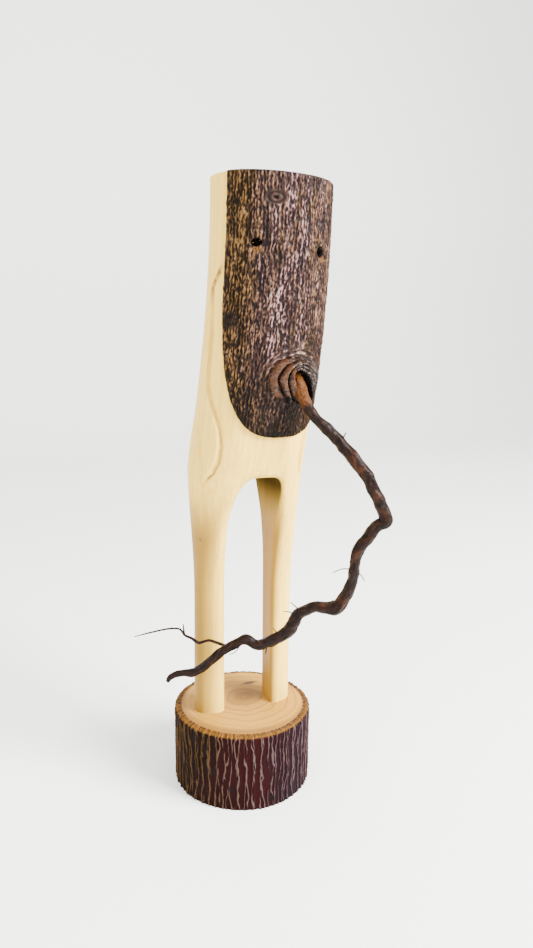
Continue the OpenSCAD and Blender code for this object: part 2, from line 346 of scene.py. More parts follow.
@dataclass(frozen=True)
class Trunk:
    """The outside of the carved wood, which the bark, the knot and the root sit on.

    Heights are above the base. Angles are in degrees round the trunk from the middle of its front,
    and are positive towards the figure's left.
    """

    base_h: float
    figure_h: float
    trunk_w: float = 55.0
    trunk_d: float = 52.0
    hip_w: float = 56.6
    hip_h: float = 138.0
    legs_w: float = 51.4
    foot_d: float = 19.0
    gap_w: float = 25.0
    gap_x: float = 1.0
    arch_h: float = 126.5
    lean: float = 12.8
    legs_lean: float = 0.8
    top_slope: float = 2.8
    face_h: float = 146.5
    socket_h: float = 170.5
    nose_turn: float = 18.0
    carving: float = 1.4
    pocket: float = 4.5

    def half_width(self, h: Array) -> Array:
        """Half the wood's width.

        Args:
            h: Heights.

        Returns:
            The half widths.
        """
        return eased(h, [
            (0, self.legs_w / 2), (self.arch_h - 64, self.legs_w / 2 - 0.2), (self.hip_h, self.hip_w / 2),
            (self.socket_h - 8, self.trunk_w / 2), (self.figure_h, self.trunk_w / 2),
        ])

    def depth(self, h: Array, front: Array) -> Array:
        """How far the wood reaches from the middle.

        Args:
            h: Heights.
            front: True where the front is wanted, and False for the back.

        Returns:
            The depths.
        """
        flare = self.arch_h - 64
        leg = self.foot_d / 2
        before = eased(h, [(0, leg - 0.5), (flare, leg + 0.2), (self.face_h, self.trunk_d / 2 + 1),
                           (self.figure_h, self.trunk_d / 2 + 1)])
        behind = eased(h, [(0, leg + 0.5), (flare + 12, leg + 1.1), (self.hip_h, self.trunk_d / 2 - 1),
                           (self.figure_h, self.trunk_d / 2 - 1)])
        return np.where(front, before, behind)

    def squareness(self, h: Array) -> Array:
        """The power of the wood's outline: 2 is an ellipse, and more is squarer."""
        return eased(h, [(0, 2.8), (self.arch_h - 64, 2.8), (self.hip_h, 2.3), (self.figure_h, 2.15)])

    def centre_x(self, h: Array) -> Array:
        """How far the middle of the wood leans to the left.

        Args:
            h: Heights.

        Returns:
            Distances along X.
        """
        low = np.clip(h / self.arch_h, 0, 1)
        high = np.clip((h - self.arch_h) / (self.figure_h - self.arch_h), 0, 1)
        return self.legs_lean * low + (self.lean - self.legs_lean) * np.sin(high * math.pi / 2)

    def point(self, angle: Array, h: Array, out: Array) -> Array:
        """Points on the wood, or out from it.

        Args:
            angle: Angles round the trunk.
            h: Heights.
            out: Distances out from the wood.

        Returns:
            One row of X, Y and Z for each.
        """
        angle, h, out = np.broadcast_arrays(np.radians(angle), np.asarray(h, float), np.asarray(out, float))
        power = 2 / self.squareness(h)
        ahead = np.cos(angle) >= 0
        x = self.centre_x(h) + (self.half_width(h) + out) * signed_power(np.sin(angle), power)
        y = -(self.depth(h, ahead) + out) * signed_power(np.cos(angle), power)
        return np.stack([x, y, self.base_h + h], axis=-1)

    def top_at(self, angle: Array) -> Array:
        """The height of the head's saw-cut top at an angle round the trunk."""
        across = self.trunk_w / 2 * np.sin(np.radians(angle))
        return self.figure_h - across * math.tan(math.radians(self.top_slope))

    def arm_carving(self, angle: Array, h: Array) -> Array:
        """How deep the wood is carved beside the arms and hands.

        Args:
            angle: Angles round the trunk.
            h: Heights.

        Returns:
            Depths, which are below 0 where the arm stands proud.
        """
        mm_per_degree = math.pi / 180 * self.trunk_w / 2
        turn = np.abs(angle)
        ahead = (lookup(h, ARM_LINE) - turn) * mm_per_degree
        steep = np.where(ahead > 0, 1.5, 0.45)
        fade = 0.25 * smooth_step(h, 115, 118) + 0.75 * smooth_step(h, 122, 127)
        fade = fade * (1 - smooth_step(h, 221, 228))
        groove = np.exp(-(ahead / steep) ** 2) * self.carving * fade
        behind = (turn - lookup(h, HAND_LINE)) * mm_per_degree
        hand = smooth_step(h, 122, 128) * (1 - smooth_step(h, 148, 155))
        rear = np.exp(-(behind / np.where(behind > 0, 2.0, 0.7)) ** 2) * 0.8 * hand
        proud = smooth_step(-ahead, 0.1, 1.6) * (1 - smooth_step(-ahead, 3, 8)) * fade
        return groove + rear - 0.5 * proud

    def body_distance(self, p: Array) -> Array:
        """How far points are outside the carved wood.

        Args:
            p: One point in each row.

        Returns:
            Distances, which are below 0 inside.
        """
        h = p[:, 2] - self.base_h
        x = p[:, 0] - self.centre_x(h)
        y = p[:, 1]
        power = self.squareness(h)
        wide = np.abs(x) / self.half_width(h)
        deep = np.abs(y) / self.depth(h, y < 0)
        ratio = (wide ** power + deep ** power) ** (1 / power) + 1e-6
        angle = np.degrees(np.arctan2(np.sign(x) * wide ** (power / 2), -np.sign(y) * deep ** (power / 2)))
        outside = np.hypot(x, y) * (1 - 1 / ratio) + self.arm_carving(angle, h) + self.pocket_depth(angle, h)
        return smooth_max(outside, -self.gap_distance(p), self.edge_rounding(p))

    def gap_distance(self, p: Array) -> Array:
        """How far points are outside the gap between the legs, whose arch is squarer on the left.

        Args:
            p: One point in each row.

        Returns:
            Distances, which are below 0 in the gap.
        """
        h = p[:, 2] - self.base_h
        x = p[:, 0] - self.gap_x
        left = smooth_step(x, -5, 6)
        power = 2.6 + 1.9 * left
        rise = 29 - 15 * left
        across = np.abs(x) / (self.gap_w / 2)
        up = np.maximum(h - self.arch_h + rise, 0) / rise
        return ((across ** power + up ** power) ** (1 / power) - 1) * self.gap_w / 2

    def edge_rounding(self, p: Array) -> Array:
        """How widely a leg's inner edges are rounded: the left leg keeps a crisp front edge.

        Args:
            p: One point in each row.

        Returns:
            The widths over which the edges blend.
        """
        h = p[:, 2] - self.base_h
        left = smooth_step(p[:, 0], 2, 6)
        front = smooth_step(-p[:, 1], -2, 2)
        crisp = left * front * (1 - smooth_step(h, 40, 105))
        return 8.0 - 5.0 * smooth_step(h, 98, 120) - 3.0 * crisp

    def pocket_depth(self, angle: Array, h: Array) -> Array:
        """How deep the eye holes go into the wood behind the bark."""
        return sum((1 - smooth_step(eye.distance(self, angle, h), 0.75, 1.15)) * self.pocket for eye in EYES)


@dataclass(frozen=True)
class Mark:
    """A round or oval feature on the front of the trunk."""

    angle: float
    h: float
    wide: float
    tall: float

    def distance(self, trunk: Trunk, angle: Array, h: Array) -> Array:
        """How far places are from the middle: 1 is the mark's edge."""
        across = (angle - self.angle) * math.pi / 180 * trunk.trunk_w / 2
        return np.hypot(across / (self.wide / 2), (h - self.h) / (self.tall / 2))


EYES = (Mark(-28.5, 233.4, 4.8, 3.4), Mark(33.5, 230.4, 4.3, 4.6))
# The carved line in front of an arm and its hand: height above the base, and angle round the trunk.
ARM_LINE = [
    (110, 74), (117, 68.5), (121.5, 64), (125.5, 58.5), (129, 51), (135, 46), (142.5, 45.5), (149.5, 49.5),
    (158, 60), (165.5, 70.5), (170, 75), (177, 76.5), (186, 76), (194, 77.5), (207, 81), (214.5, 81.5),
    (219.5, 73.5), (224.5, 67), (230, 60),
]
# The carved line behind the hand, in the same terms.
HAND_LINE = [(112, 66), (125, 62.5), (136, 68), (146.5, 76), (151.5, 90), (156, 100)]
# How dark the painted shade in the carved lines is at a height above the base.
LINE_SHADE = [(112, 0.8), (124, 1.0), (136, 0.75), (152, 0.35), (206, 0.3), (213, 0.8), (219, 1.0)]


# ---------------------------------------------------------------- shader work


class Graph:
    """A node tree written as short calls."""

    def __init__(self, tree: bpy.types.NodeTree) -> None:
        """Starts on an empty tree."""
        self.tree = tree

    def join(self, source: Socket, target: Socket) -> None:
        """Joins an output socket to an input socket."""
        self.tree.links.new(source, target)

    def add(self, kind: str, inputs: dict | None = None, **settings: object) -> bpy.types.Node:
        """Adds a node.

        Args:
            kind: The node's type, without its ShaderNode prefix.
            inputs: A value or a socket for each input, by name or number.
            settings: The node's own settings.

        Returns:
            The node.
        """
        node = self.tree.nodes.new("ShaderNode" + kind)
        for name, value in settings.items():
            setattr(node, name, value)
        for key, value in (inputs or {}).items():
            if isinstance(value, Socket):
                self.join(value, node.inputs[key])
            else:
                node.inputs[key].default_value = value
        return node

    def value(self, name: str) -> Socket:
        """A number that the mesh carries."""
        return self.add("Attribute", attribute_name=name).outputs["Fac"]

    def vector(self, name: str) -> Socket:
        """A vector that the mesh carries."""
        return self.add("Attribute", attribute_name=name).outputs["Vector"]

    def math(self, operation: str, *inputs: Value) -> Socket:
        """A sum on one to three numbers."""
        return self.add("Math", dict(enumerate(inputs)), operation=operation).outputs[0]

    def mix(self, share: Value, a: Value, b: Value, blend: str = "MIX") -> Socket:
        """A mix of two colours."""
        node = self.add("Mix", {0: share, 6: a, 7: b}, data_type="RGBA", blend_type=blend)
        return node.outputs[2]

    def stretch(self, vector: Socket, scale: tuple[float, float, float]) -> Socket:
        """A vector with each part multiplied."""
        return self.add("VectorMath", {0: vector, 1: scale}, operation="MULTIPLY").outputs[0]

    def scale(self, vector: Socket, factor: Value) -> Socket:
        """A vector made longer or shorter."""
        return self.add("VectorMath", {0: vector, "Scale": factor}, operation="SCALE").outputs[0]

    def from_spot(self, vector: Socket, spot: tuple[float, float]) -> Socket:
        """A vector measured from a spot that has no height of its own."""
        return self.add("VectorMath", {0: vector, 1: (*spot, 0)}, operation="SUBTRACT").outputs[0]

    def length(self, vector: Socket) -> Socket:
        """A vector's length."""
        return self.add("VectorMath", {0: vector}, operation="LENGTH").outputs["Value"]

    def noise(self, vector: Socket, scale: float, detail: float = 3, rough: float = 0.55) -> Socket:
        """A noise texture's value."""
        node = self.add("TexNoise", {"Vector": vector, "Scale": scale, "Detail": detail, "Roughness": rough})
        return node.outputs["Fac"]

    def ramp(self, share: Socket, stops: tuple[tuple[float, float], ...]) -> Socket:
        """A grey that runs through stops.

        Args:
            share: Where to read the ramp, from 0 to 1.
            stops: Pairs of place and grey.

        Returns:
            The grey.
        """
        node = self.add("ValToRGB", {0: share})
        marks = node.color_ramp.elements
        while len(marks) < len(stops):
            marks.new(0.5)
        for mark, (place, grey) in zip(marks, stops):
            mark.position = place
            mark.color = (grey, grey, grey, 1)
        return node.outputs["Color"]

    def spread(self, v: Socket, low: float, high: float) -> Socket:
        """A number that runs from 0 at low to 1 at high, and no further."""
        node = self.add("MapRange", {0: v, 1: low, 2: high, 3: 0.0, 4: 1.0}, interpolation_type="SMOOTHSTEP")
        return node.outputs[0]


def group(name: str, inputs: dict[str, str], outputs: dict[str, str],
          build: Callable[[Graph, dict, dict], None]) -> bpy.types.NodeTree:
    """Makes a shader group once, and gives it again when it is asked for again.

    Args:
        name: The group's name.
        inputs: Socket kinds by name.
        outputs: Socket kinds by name.
        build: Wires the group from its input sockets to its output sockets.

    Returns:
        The group.
    """
    if name in bpy.data.node_groups:
        return bpy.data.node_groups[name]
    tree = bpy.data.node_groups.new(name, "ShaderNodeTree")
    for way, sockets in (("INPUT", inputs), ("OUTPUT", outputs)):
        for socket, kind in sockets.items():
            tree.interface.new_socket(socket, in_out=way, socket_type="NodeSocket" + kind)
    graph = Graph(tree)
    entry = tree.nodes.new("NodeGroupInput")
    leave = tree.nodes.new("NodeGroupOutput")
    build(graph, entry.outputs, leave.inputs)
    return tree


def fibre_group() -> bpy.types.NodeTree:
    """Fine streaks along Z of the given vector, as wood fibres make.

    Returns:
        The group.
    """

    def build(g: Graph, have: dict, give: dict) -> None:
        """Wires the streaks.

        Args:
            g: The group's graph.
            have: Its input sockets.
            give: Its output sockets.
        """
        across = g.scale(have["Vector"], have["Fineness"])
        wide = g.noise(g.stretch(across, (1, 1, 0.03)), 1.0, 4, 0.6)
        fine = g.noise(g.stretch(across, (4.5, 4.5, 0.10)), 1.0, 2, 0.6)
        both = g.math("ADD", g.math("MULTIPLY", wide, 0.65), g.math("MULTIPLY", fine, 0.35))
        g.join(g.spread(both, 0.3, 0.7), give["Streak"])

    return group("wood fibres", {"Vector": "Vector", "Fineness": "Float"}, {"Streak": "Float"}, build)


def bark_group() -> bpy.types.NodeTree:
    """Colours bark by how high its ridges stand, with paler patches.

    Returns:
        The group.
    """

    def build(g: Graph, have: dict, give: dict) -> None:
        """Wires the tint.

        Args:
            g: The group's graph.
            have: Its input sockets.
            give: Its output sockets.
        """
        grit = g.noise(g.stretch(have["Vector"], (1, 1, 0.5)), 2.6, 4, 0.7)
        height = g.math("ADD", have["Relief"], g.math("MULTIPLY", g.math("SUBTRACT", grit, 0.5), 0.6))
        low = g.mix(g.spread(height, 0.12, 0.5), have["Valley"], have["Side"])
        top = g.mix(have["Patch"], have["Ridge"], have["Pale ridge"])
        g.join(g.mix(g.spread(height, 0.42, 0.9), low, top), give["Color"])
        g.join(height, give["Height"])

    kinds = {"Vector": "Vector", "Relief": "Float", "Patch": "Float", "Valley": "Color", "Side": "Color",
             "Ridge": "Color", "Pale ridge": "Color"}
    return group("bark tint", kinds, {"Color": "Color", "Height": "Float"}, build)


def start_material(name: str) -> tuple[bpy.types.Material, Graph, bpy.types.Node]:
    """A new material with its surface shader.

    Args:
        name: The material's name.

    Returns:
        The material, its graph and its surface shader.
    """
    material = bpy.data.materials.new(name)
    material.use_nodes = True
    graph = Graph(material.node_tree)
    return material, graph, material.node_tree.nodes["Principled BSDF"]


def dress(g: Graph, shader: bpy.types.Node, colour: Socket, rough: Value, height: Socket, bump: float,
          depth: float) -> None:
    """Joins a colour, a roughness and a height to the surface shader.

    Args:
        g: The material's graph.
        shader: Its surface shader.
        colour: A colour socket.
        rough: A roughness socket or number.
        height: A height socket, from 0 to 1.
        bump: The strength of the bump.
        depth: What a height of 1 stands for, in millimetres.
    """
    g.join(colour, shader.inputs["Base Color"])
    if isinstance(rough, Socket):
        g.join(rough, shader.inputs["Roughness"])
    else:
        shader.inputs["Roughness"].default_value = rough
    relief = g.add("Bump", {"Strength": bump, "Distance": depth * MM, "Height": height})
    g.join(relief.outputs["Normal"], shader.inputs["Normal"])


@dataclass(frozen=True)
class CarvedWood:
    """Pale close-grained wood, sanded and oiled, with faint growth rings, and with painted shade in the
    carved arm lines, on the legs' sides away from the key light and in the arch.
    """

    name: str = "carved pale wood"
    light: tuple = (0.90, 0.605, 0.105)
    deep: tuple = (0.54, 0.285, 0.026)
    roughness: float = 0.50
    ring_gap: float = 3.1
    fineness: float = 0.55

    def build(self) -> bpy.types.Material:
        """Makes the material, which reads the branch's own coordinates from the mesh.

        Returns:
            The material.
        """
        material, g, shader = start_material(self.name)
        grain = g.vector("grain")
        fibres = g.add("Group", node_tree=fibre_group())
        g.join(grain, fibres.inputs["Vector"])
        fibres.inputs["Fineness"].default_value = self.fineness
        flat = g.stretch(grain, (1, 1, 0))
        radius = g.length(flat)
        wobble = g.noise(g.stretch(grain, (0.12, 0.12, 0.02)), 1.0, 2)
        turns = g.math("ADD", g.math("DIVIDE", radius, self.ring_gap), g.math("MULTIPLY", wobble, 3.0))
        rings = g.math("PINGPONG", turns, 0.5)
        ring = g.spread(rings, 0.36, 0.5)
        tone = g.mix(g.math("MULTIPLY", fibres.outputs["Streak"], 0.50), (*self.light, 1), (*self.deep, 1))
        tone = g.mix(g.math("MULTIPLY", ring, 0.24), tone, (*self.deep, 1))
        # Painted shade: the legs' sides that face the figure's right, away from the key light, turn deep
        # yellow-brown.
        tone = g.mix(g.math("MULTIPLY", g.value("sapless"), 0.9), tone, (0.215, 0.108, 0.0085, 1))
        # Painted shade in the arch between the legs, with some real end-grain darkening on the arch's
        # underside; the same mask also roughens it and takes away its sheen.
        sawn = g.value("sawn")
        tone = g.mix(sawn, tone, (0.019, 0.0098, 0.0026, 1))
        # Painted shade along the carved lines in front of the arms and behind the hands.
        tone = g.mix(g.value("carved"), tone, (0.15, 0.058, 0.008, 1))
        tone = g.mix(g.value("speck"), tone, (0.06, 0.035, 0.02, 1))
        rough = g.math("ADD", self.roughness - 0.05, g.math("MULTIPLY", fibres.outputs["Streak"], 0.12))
        rough = g.math("ADD", rough, g.math("MULTIPLY", sawn, 0.45))
        dress(g, shader, tone, rough, fibres.outputs["Streak"], 0.12, 0.1)
        shine = g.math("MULTIPLY", g.math("SUBTRACT", 1.0, sawn), 0.12)
        g.join(shine, shader.inputs["Specular IOR Level"])
        return material


@dataclass(frozen=True)
class EndGrain:
    """A slice of a log, cut with a saw and sanded, with growth rings about its pith."""

    name: str = "end grain"
    light: tuple = (0.43, 0.218, 0.024)
    dark: tuple = (0.135, 0.052, 0.0065)
    pith: tuple[float, float] = (2.4, 3.3)
    knot: tuple[float, float] = (10.5, 17.6)
    rings: tuple[tuple[float, float], ...] = (
        (0.0, 0.62), (0.015, 0.0), (0.035, 0.75), (0.125, 0.35), (0.14, 0.85), (0.155, 0.20),
        (0.255, 0.42), (0.275, 0.80), (0.29, 0.12), (0.40, 0.20), (0.425, 0.72), (0.44, 0.08),
        (0.52, 0.16), (0.545, 0.66), (0.56, 0.05), (0.68, 0.12), (0.70, 0.58), (0.715, 0.03),
        (0.84, 0.10), (0.86, 0.50), (0.875, 0.04), (0.965, 0.10), (1.0, 0.45),
    )

    def build(self) -> bpy.types.Material:
        """Makes the material, with its rings round the pith and a dark knot mark.

        Returns:
            The material.
        """
        material, g, shader = start_material(self.name)
        spot = g.add("TexCoord").outputs["Object"]
        scaled = g.scale(spot, 1 / MM)
        flat = g.stretch(g.from_spot(scaled, self.pith), (1, 1, 0))
        warp = g.noise(g.stretch(flat, (0.05, 0.05, 0)), 1.0, 2)
        reach = g.length(flat)
        radius = g.math("ADD", reach, g.math("MULTIPLY", g.math("SUBTRACT", warp, 0.5), 7.0))
        share = g.math("DIVIDE", radius, 34.0)
        rings = g.ramp(share, self.rings)
        pores = g.noise(flat, 3.2, 3, 0.7)
        rays = g.noise(g.stretch(flat, (0.35, 0.35, 0)), 1.0, 3)
        tone = g.mix(rings, (*self.light, 1), (*self.dark, 1))
        tone = g.mix(g.math("MULTIPLY", g.spread(rays, 0.4, 0.75), 0.25), tone, (0.32, 0.16, 0.028, 1))
        tone = g.mix(g.math("MULTIPLY", g.spread(pores, 0.5, 0.8), 0.20), tone, (0.17, 0.080, 0.014, 1))
        heart = g.math("SUBTRACT", 1.0, g.spread(radius, 2.0, 15.5))
        tone = g.mix(g.math("MULTIPLY", heart, 0.68), tone, (0.098, 0.043, 0.0022, 1))
        tone = g.mix(g.math("MULTIPLY", g.spread(reach, 30.0, 33.5), 0.6), tone, (0.15, 0.068, 0.012, 1))
        ragged = g.length(g.stretch(g.from_spot(scaled, self.knot), (0.20, 0.55, 0)))
        ragged = g.math("ADD", ragged, g.math("MULTIPLY", g.math("SUBTRACT", pores, 0.5), 1.6))
        dark = g.math("SUBTRACT", 1.0, g.spread(ragged, 0.35, 1.25))
        tone = g.mix(g.math("MULTIPLY", dark, 0.9), tone, (0.030, 0.016, 0.0075, 1))
        dress(g, shader, tone, 0.55, pores, 0.10, 0.08)
        shader.inputs["Specular IOR Level"].default_value = 0.20
        return material


class Gloss(Enum):
    """How much varnish a bark shows."""

    DRY = 0.0
    DULL = 0.05
    SATIN = 0.06
    VARNISHED = 0.35


@dataclass(frozen=True)
class Bark:
    """Ridged bark, coloured by its relief. Its valleys and ridges run from a cool to a warm hue."""

    name: str
    valley: tuple
    side: tuple
    ridge: tuple
    pale: tuple
    warm: tuple = (1.25, 0.95, 0.60)
    cool: tuple = (0.92, 0.92, 1.12)
    warm_valley: tuple = (0.016, 0.010, 0.006)
    cool_valley: tuple = (0.014, 0.011, 0.014)
    bare: tuple = (0.30, 0.15, 0.05)
    roughness: float = 0.45
    bump: float = 0.5
    shine: float = 0.08
    gloss: Gloss = Gloss.SATIN

    def build(self) -> bpy.types.Material:
        """Makes the material, which reads grain, relief, patch, hue, bare and dark from the mesh; dark also
        carries painted shade in holes and creases.

        Returns:
            The material.
        """
        material, g, shader = start_material(self.name)
        grain = g.vector("grain")
        warmth = g.spread(g.value("hue"), 0.5, 1.0)
        chill = g.spread(g.value("hue"), 0.5, 0.0)
        valley = g.mix(warmth, (*self.valley, 1), (*self.warm_valley, 1))
        tint = g.add("Group", node_tree=bark_group())
        wires = {"Vector": grain, "Relief": g.value("relief"), "Patch": g.value("patch"),
                 "Valley": g.mix(chill, valley, (*self.cool_valley, 1))}
        for socket, wire in wires.items():
            g.join(wire, tint.inputs[socket])
        for socket, colour in (("Side", self.side), ("Ridge", self.ridge), ("Pale ridge", self.pale)):
            tint.inputs[socket].default_value = (*colour, 1)
        tone = tint.outputs["Color"]
        tone = g.mix(warmth, tone, g.mix(1.0, tone, (*self.warm, 1), blend="MULTIPLY"))
        tone = g.mix(chill, tone, g.mix(1.0, tone, (*self.cool, 1), blend="MULTIPLY"))
        speckle = g.noise(grain, 1.7, 3, 0.7)
        deep = tuple(c * 0.25 for c in self.bare)
        flesh = g.mix(g.spread(speckle, 0.40, 0.64), (*self.bare, 1), (*deep, 1))
        tone = g.mix(g.value("bare"), tone, flesh)
        # Near black for dark marks, and for painted shade in the eye holes and in the knot's gaps, mouth and
        # hollow.
        tone = g.mix(g.value("dark"), tone, (0.004, 0.003, 0.003, 1))
        rough = g.math("ADD", self.roughness, g.math("MULTIPLY", g.math("SUBTRACT", speckle, 0.5), 0.3))
        dress(g, shader, tone, rough, tint.outputs["Height"], self.bump, 0.35)
        shader.inputs["Specular IOR Level"].default_value = self.shine
        lit = g.math("MULTIPLY", g.spread(tint.outputs["Height"], 0.3, 0.8), self.gloss.value)
        coat = g.math("MULTIPLY", lit, g.math("SUBTRACT", 1.0, g.value("dark")))
        g.join(coat, shader.inputs["Coat Weight"])
        shader.inputs["Coat Roughness"].default_value = 0.15
        return material


FACE_BARK = Bark("face bark", valley=(0.0065, 0.0032, 0.0036), side=(0.032, 0.016, 0.0115),
                 ridge=(0.136, 0.070, 0.040), pale=(0.240, 0.158, 0.146), warm=(0.92, 0.92, 0.44),
                 cool=(1.00, 0.90, 0.98), warm_valley=(0.0060, 0.0036, 0.0018),
                 cool_valley=(0.0052, 0.0032, 0.0040), bare=(0.14, 0.062, 0.016), shine=0.05,
                 gloss=Gloss.SATIN)
KNOT_BARK = Bark("knot bark", valley=(0.0024, 0.0012, 0.0010), side=(0.013, 0.0052, 0.0030),
                 ridge=(0.050, 0.024, 0.014), pale=(0.074, 0.043, 0.034), bare=(0.071, 0.0240, 0.0064),
                 roughness=0.28, bump=1.0, shine=0.12, gloss=Gloss.VARNISHED)
LOG_BARK = Bark("log bark", valley=(0.0130, 0.0006, 0.0014), side=(0.0100, 0.0018, 0.0018),
                ridge=(0.064, 0.035, 0.021), pale=(0.066, 0.043, 0.039), warm=(0.90, 0.88, 0.45),
                cool=(0.92, 0.84, 1.02), warm_valley=(0.0026, 0.0009, 0.0002),
                cool_valley=(0.0048, 0.0024, 0.0042), bare=(0.170, 0.075, 0.013), roughness=0.6, bump=0.4,
                shine=0.04, gloss=Gloss.DRY)
ROOT_BARK = Bark("root bark", valley=(0.0012, 0.0006, 0.0005), side=(0.0032, 0.0014, 0.0010),
                 ridge=(0.0100, 0.0034, 0.0016), pale=(0.030, 0.0088, 0.0032), bare=(0.100, 0.033, 0.0070),
                 roughness=0.42, bump=0.9, shine=0.06, gloss=Gloss.DULL)
INNER_BARK = Bark("inner bark", valley=(0.060, 0.026, 0.0050), side=(0.110, 0.050, 0.0095),
                  ridge=(0.165, 0.078, 0.015), pale=(0.14, 0.06, 0.012), roughness=0.6, gloss=Gloss.DRY)


# ---------------------------------------------------------------- the log slice


def bark_values(p: Array, relief: Array, **more: Array) -> dict[str, Array]:
    """The named values that a bark finish reads.

    Args:
        p: The grain's own coordinates, in millimetres.
        relief: How high the bark stands, from 0 to 1.
        more: Values of hue, bare and dark that aren't the usual ones.

    Returns:
        Every value by name.
    """
    usual = {"hue": np.full(len(p), 0.5), "bare": np.zeros(len(p)), "dark": np.zeros(len(p)),
             "patch": np.zeros(len(p))}
    return {"grain": p, "relief": relief, **usual, **more}


@dataclass
class LogSlice:
    """The base: a slice of log with its wood, inner bark and ridged outer bark."""

    radius: float
    height: float
    bark: float
    bast: float
    steps: int = 620
    ridge_counts: tuple[int, int] = (58, 49)
    ridge_width: float = 0.36
    scars: tuple[tuple[float, float], ...] = ((-115.5, 11), (-84, 5), (-134, 20), (20, 26), (120, 15))
    ridges: RandomField = field(default_factory=lambda: RandomField(11))
    waves: RandomField = field(default_factory=lambda: RandomField(12))

    def out_of_round(self, angle: Array) -> Array:
        """How far the log's outline falls inside a circle."""
        return 0.35 + 0.25 * np.sin(2 * angle + 0.8) + 0.10 * np.sin(5 * angle)

    def ridge_height(self, angle: Array, z: Array) -> Array:
        """How high the thin wavy ridges of the bark stand.

        Args:
            angle: Angles round the log.
            z: Heights.

        Returns:
            Heights from 0 to 1.
        """
        x = np.cos(angle) * self.radius
        y = np.sin(angle) * self.radius
        total = np.zeros(np.broadcast(angle, z).shape)
        for k, count in enumerate(self.ridge_counts):
            sway = 0.55 * self.waves.at(x / 7 + 20 * k, y / 7, z / 15) + 0.14 * self.ridges.at(
                x / 2.6, y / 2.6 + 20 * k, z / 3.6)
            phase = angle * count / math.tau + 0.5 * k + sway
            line = wavy_lines(phase, math.tau * self.radius / count, self.ridge_width)
            broken = smooth_step(self.ridges.at(x / 3.5 + 9 * k, y / 3.5, z / 9), -0.55, -0.05)
            total = np.maximum(total, line * (0.35 + 0.65 * broken))
        fine = wavy_lines(angle * 150 / math.tau + self.waves.at(x / 4, y / 4 + 60, z / 7), 1.5, 0.3)
        pitted = 0.12 * self.ridges.layered(x / 1.3, y / 1.3, z / 3.0, 2)
        return np.clip(0.16 + 0.80 * total + 0.14 * fine * (1 - total) + pitted, 0, 1)

    def wood(self) -> bpy.types.Object:
        """The wood, sanded flat on top, with its rings standing a little proud.

        Returns:
            The piece.
        """
        finish = EndGrain()
        rim = self.radius - self.bark - self.bast
        bm = spun([(0, self.height, 60), (rim - 0.3, self.height, 2), (rim, self.height - 0.3, 8),
                   (rim, 0, 12), (0, 0, 0)], steps=200)
        p = read_points(bm)
        angle = np.arctan2(p[:, 1], p[:, 0])
        side = smooth_step(np.hypot(p[:, 0], p[:, 1]), rim * 0.6, rim)
        shrink = 1 - self.out_of_round(angle) / self.radius * side
        r = np.hypot(p[:, 0] - finish.pith[0], p[:, 1] - finish.pith[1])
        top = smooth_step(p[:, 2], self.height - 1, self.height)
        p[:, 2] += top * (0.05 * np.sin(r * 1.55) - 0.10 * np.exp(-(r / 1.0) ** 2) - 0.05)
        p[:, :2] *= shrink[:, None]
        move_points(bm.verts, p)
        return finish_piece(bm, "base_wood_slice", finish.build(), ("base_wood",), 40)

    def layer(self, name: str, inner: float, outer: float, finish: Bark, slot: str, node: str,
              rows: int, ridged: float, crown: float) -> bpy.types.Object:
        """One ring of bark round the wood.

        Args:
            name: The piece's name.
            inner: Its inner radius.
            outer: Its outer radius.
            finish: Its finish.
            slot: Not used.
            node: The frame's node that it stands for.
            rows: Cells up its outer side.
            ridged: How far its ridges stand out.
            crown: How uneven its top edge is.

        Returns:
            The piece.
        """
        bm = spun([(inner, self.height, 5), (outer, self.height, rows), (outer, 0, 3), (inner, 0, 10)],
                  steps=self.steps, closed=True)
        p = read_points(bm)
        angle = np.arctan2(p[:, 1], p[:, 0])
        r = np.hypot(p[:, 0], p[:, 1])
        z = p[:, 2]
        share = np.clip((r - inner) / (outer - inner), 0, 1)
        ridge = self.ridge_height(angle, z)
        chamfer = smooth_step(z, self.height - 1.3, self.height) * share
        r_new = r - self.out_of_round(angle) - ridged * (1 - ridge) * share - 0.55 * chamfer * (ridged > 0)
        x, y = np.cos(angle), np.sin(angle)
        worn = self.waves.layered(x * outer / 1.6, y * outer / 1.6, z * 0, 3)
        rise = smooth_step(z, self.height - 3, self.height)
        z_new = z - rise * crown * (0.5 + 0.5 * worn + 0.6 * share ** 3)
        move_points(bm.verts, np.stack([x * r_new, y * r_new, np.maximum(z_new, 0)], axis=-1))
        grain = np.stack([x * outer, y * outer, z], axis=-1)
        crest = smooth_step(z_new, self.height - 1.6, self.height - 0.9) * (
            0.70 + 0.12 * self.waves.at(x * 14, y * 14, 5.5) + 0.20 * smooth_step(share, 0.6, 0.85))
        bare = crest * (ridged > 0)
        warmth = np.cos(angle - math.radians(-185)) - 0.15
        hue = np.clip(0.5 + 0.62 * warmth + 0.45 * self.waves.at(x * 1.5, y * 1.5, z / 30), 0, 1)
        scar = sum(
            np.exp(-((angle - math.radians(turn)) * self.radius / 2.2) ** 2 - ((z - up) / 1.5) ** 2)
            for turn, up in self.scars
        )
        patch = smooth_step(np.cos(angle - math.radians(-70)), 0.3, 1)
        dark = np.clip(scar * 0.8, 0, 0.9) * share
        set_layers(bm, bark_values(grain, ridge, bare=bare, hue=hue, dark=dark, patch=patch))
        return finish_piece(bm, name, finish.build(), (node,), 80)

    def build(self) -> None:
        """Makes the wood and its two layers of bark."""
        self.wood()
        edge = self.radius - self.bark
        self.layer("base_inner_bark", edge - self.bast, edge, INNER_BARK, "inner_bark", "base_bast",
                   rows=12, ridged=0.0, crown=0.35)
        self.layer("base_outer_bark", edge, self.radius, LOG_BARK, "log_bark", "base_bark",
                   rows=84, ridged=1.0, crown=0.55)


# ---------------------------------------------------------------- the carved body


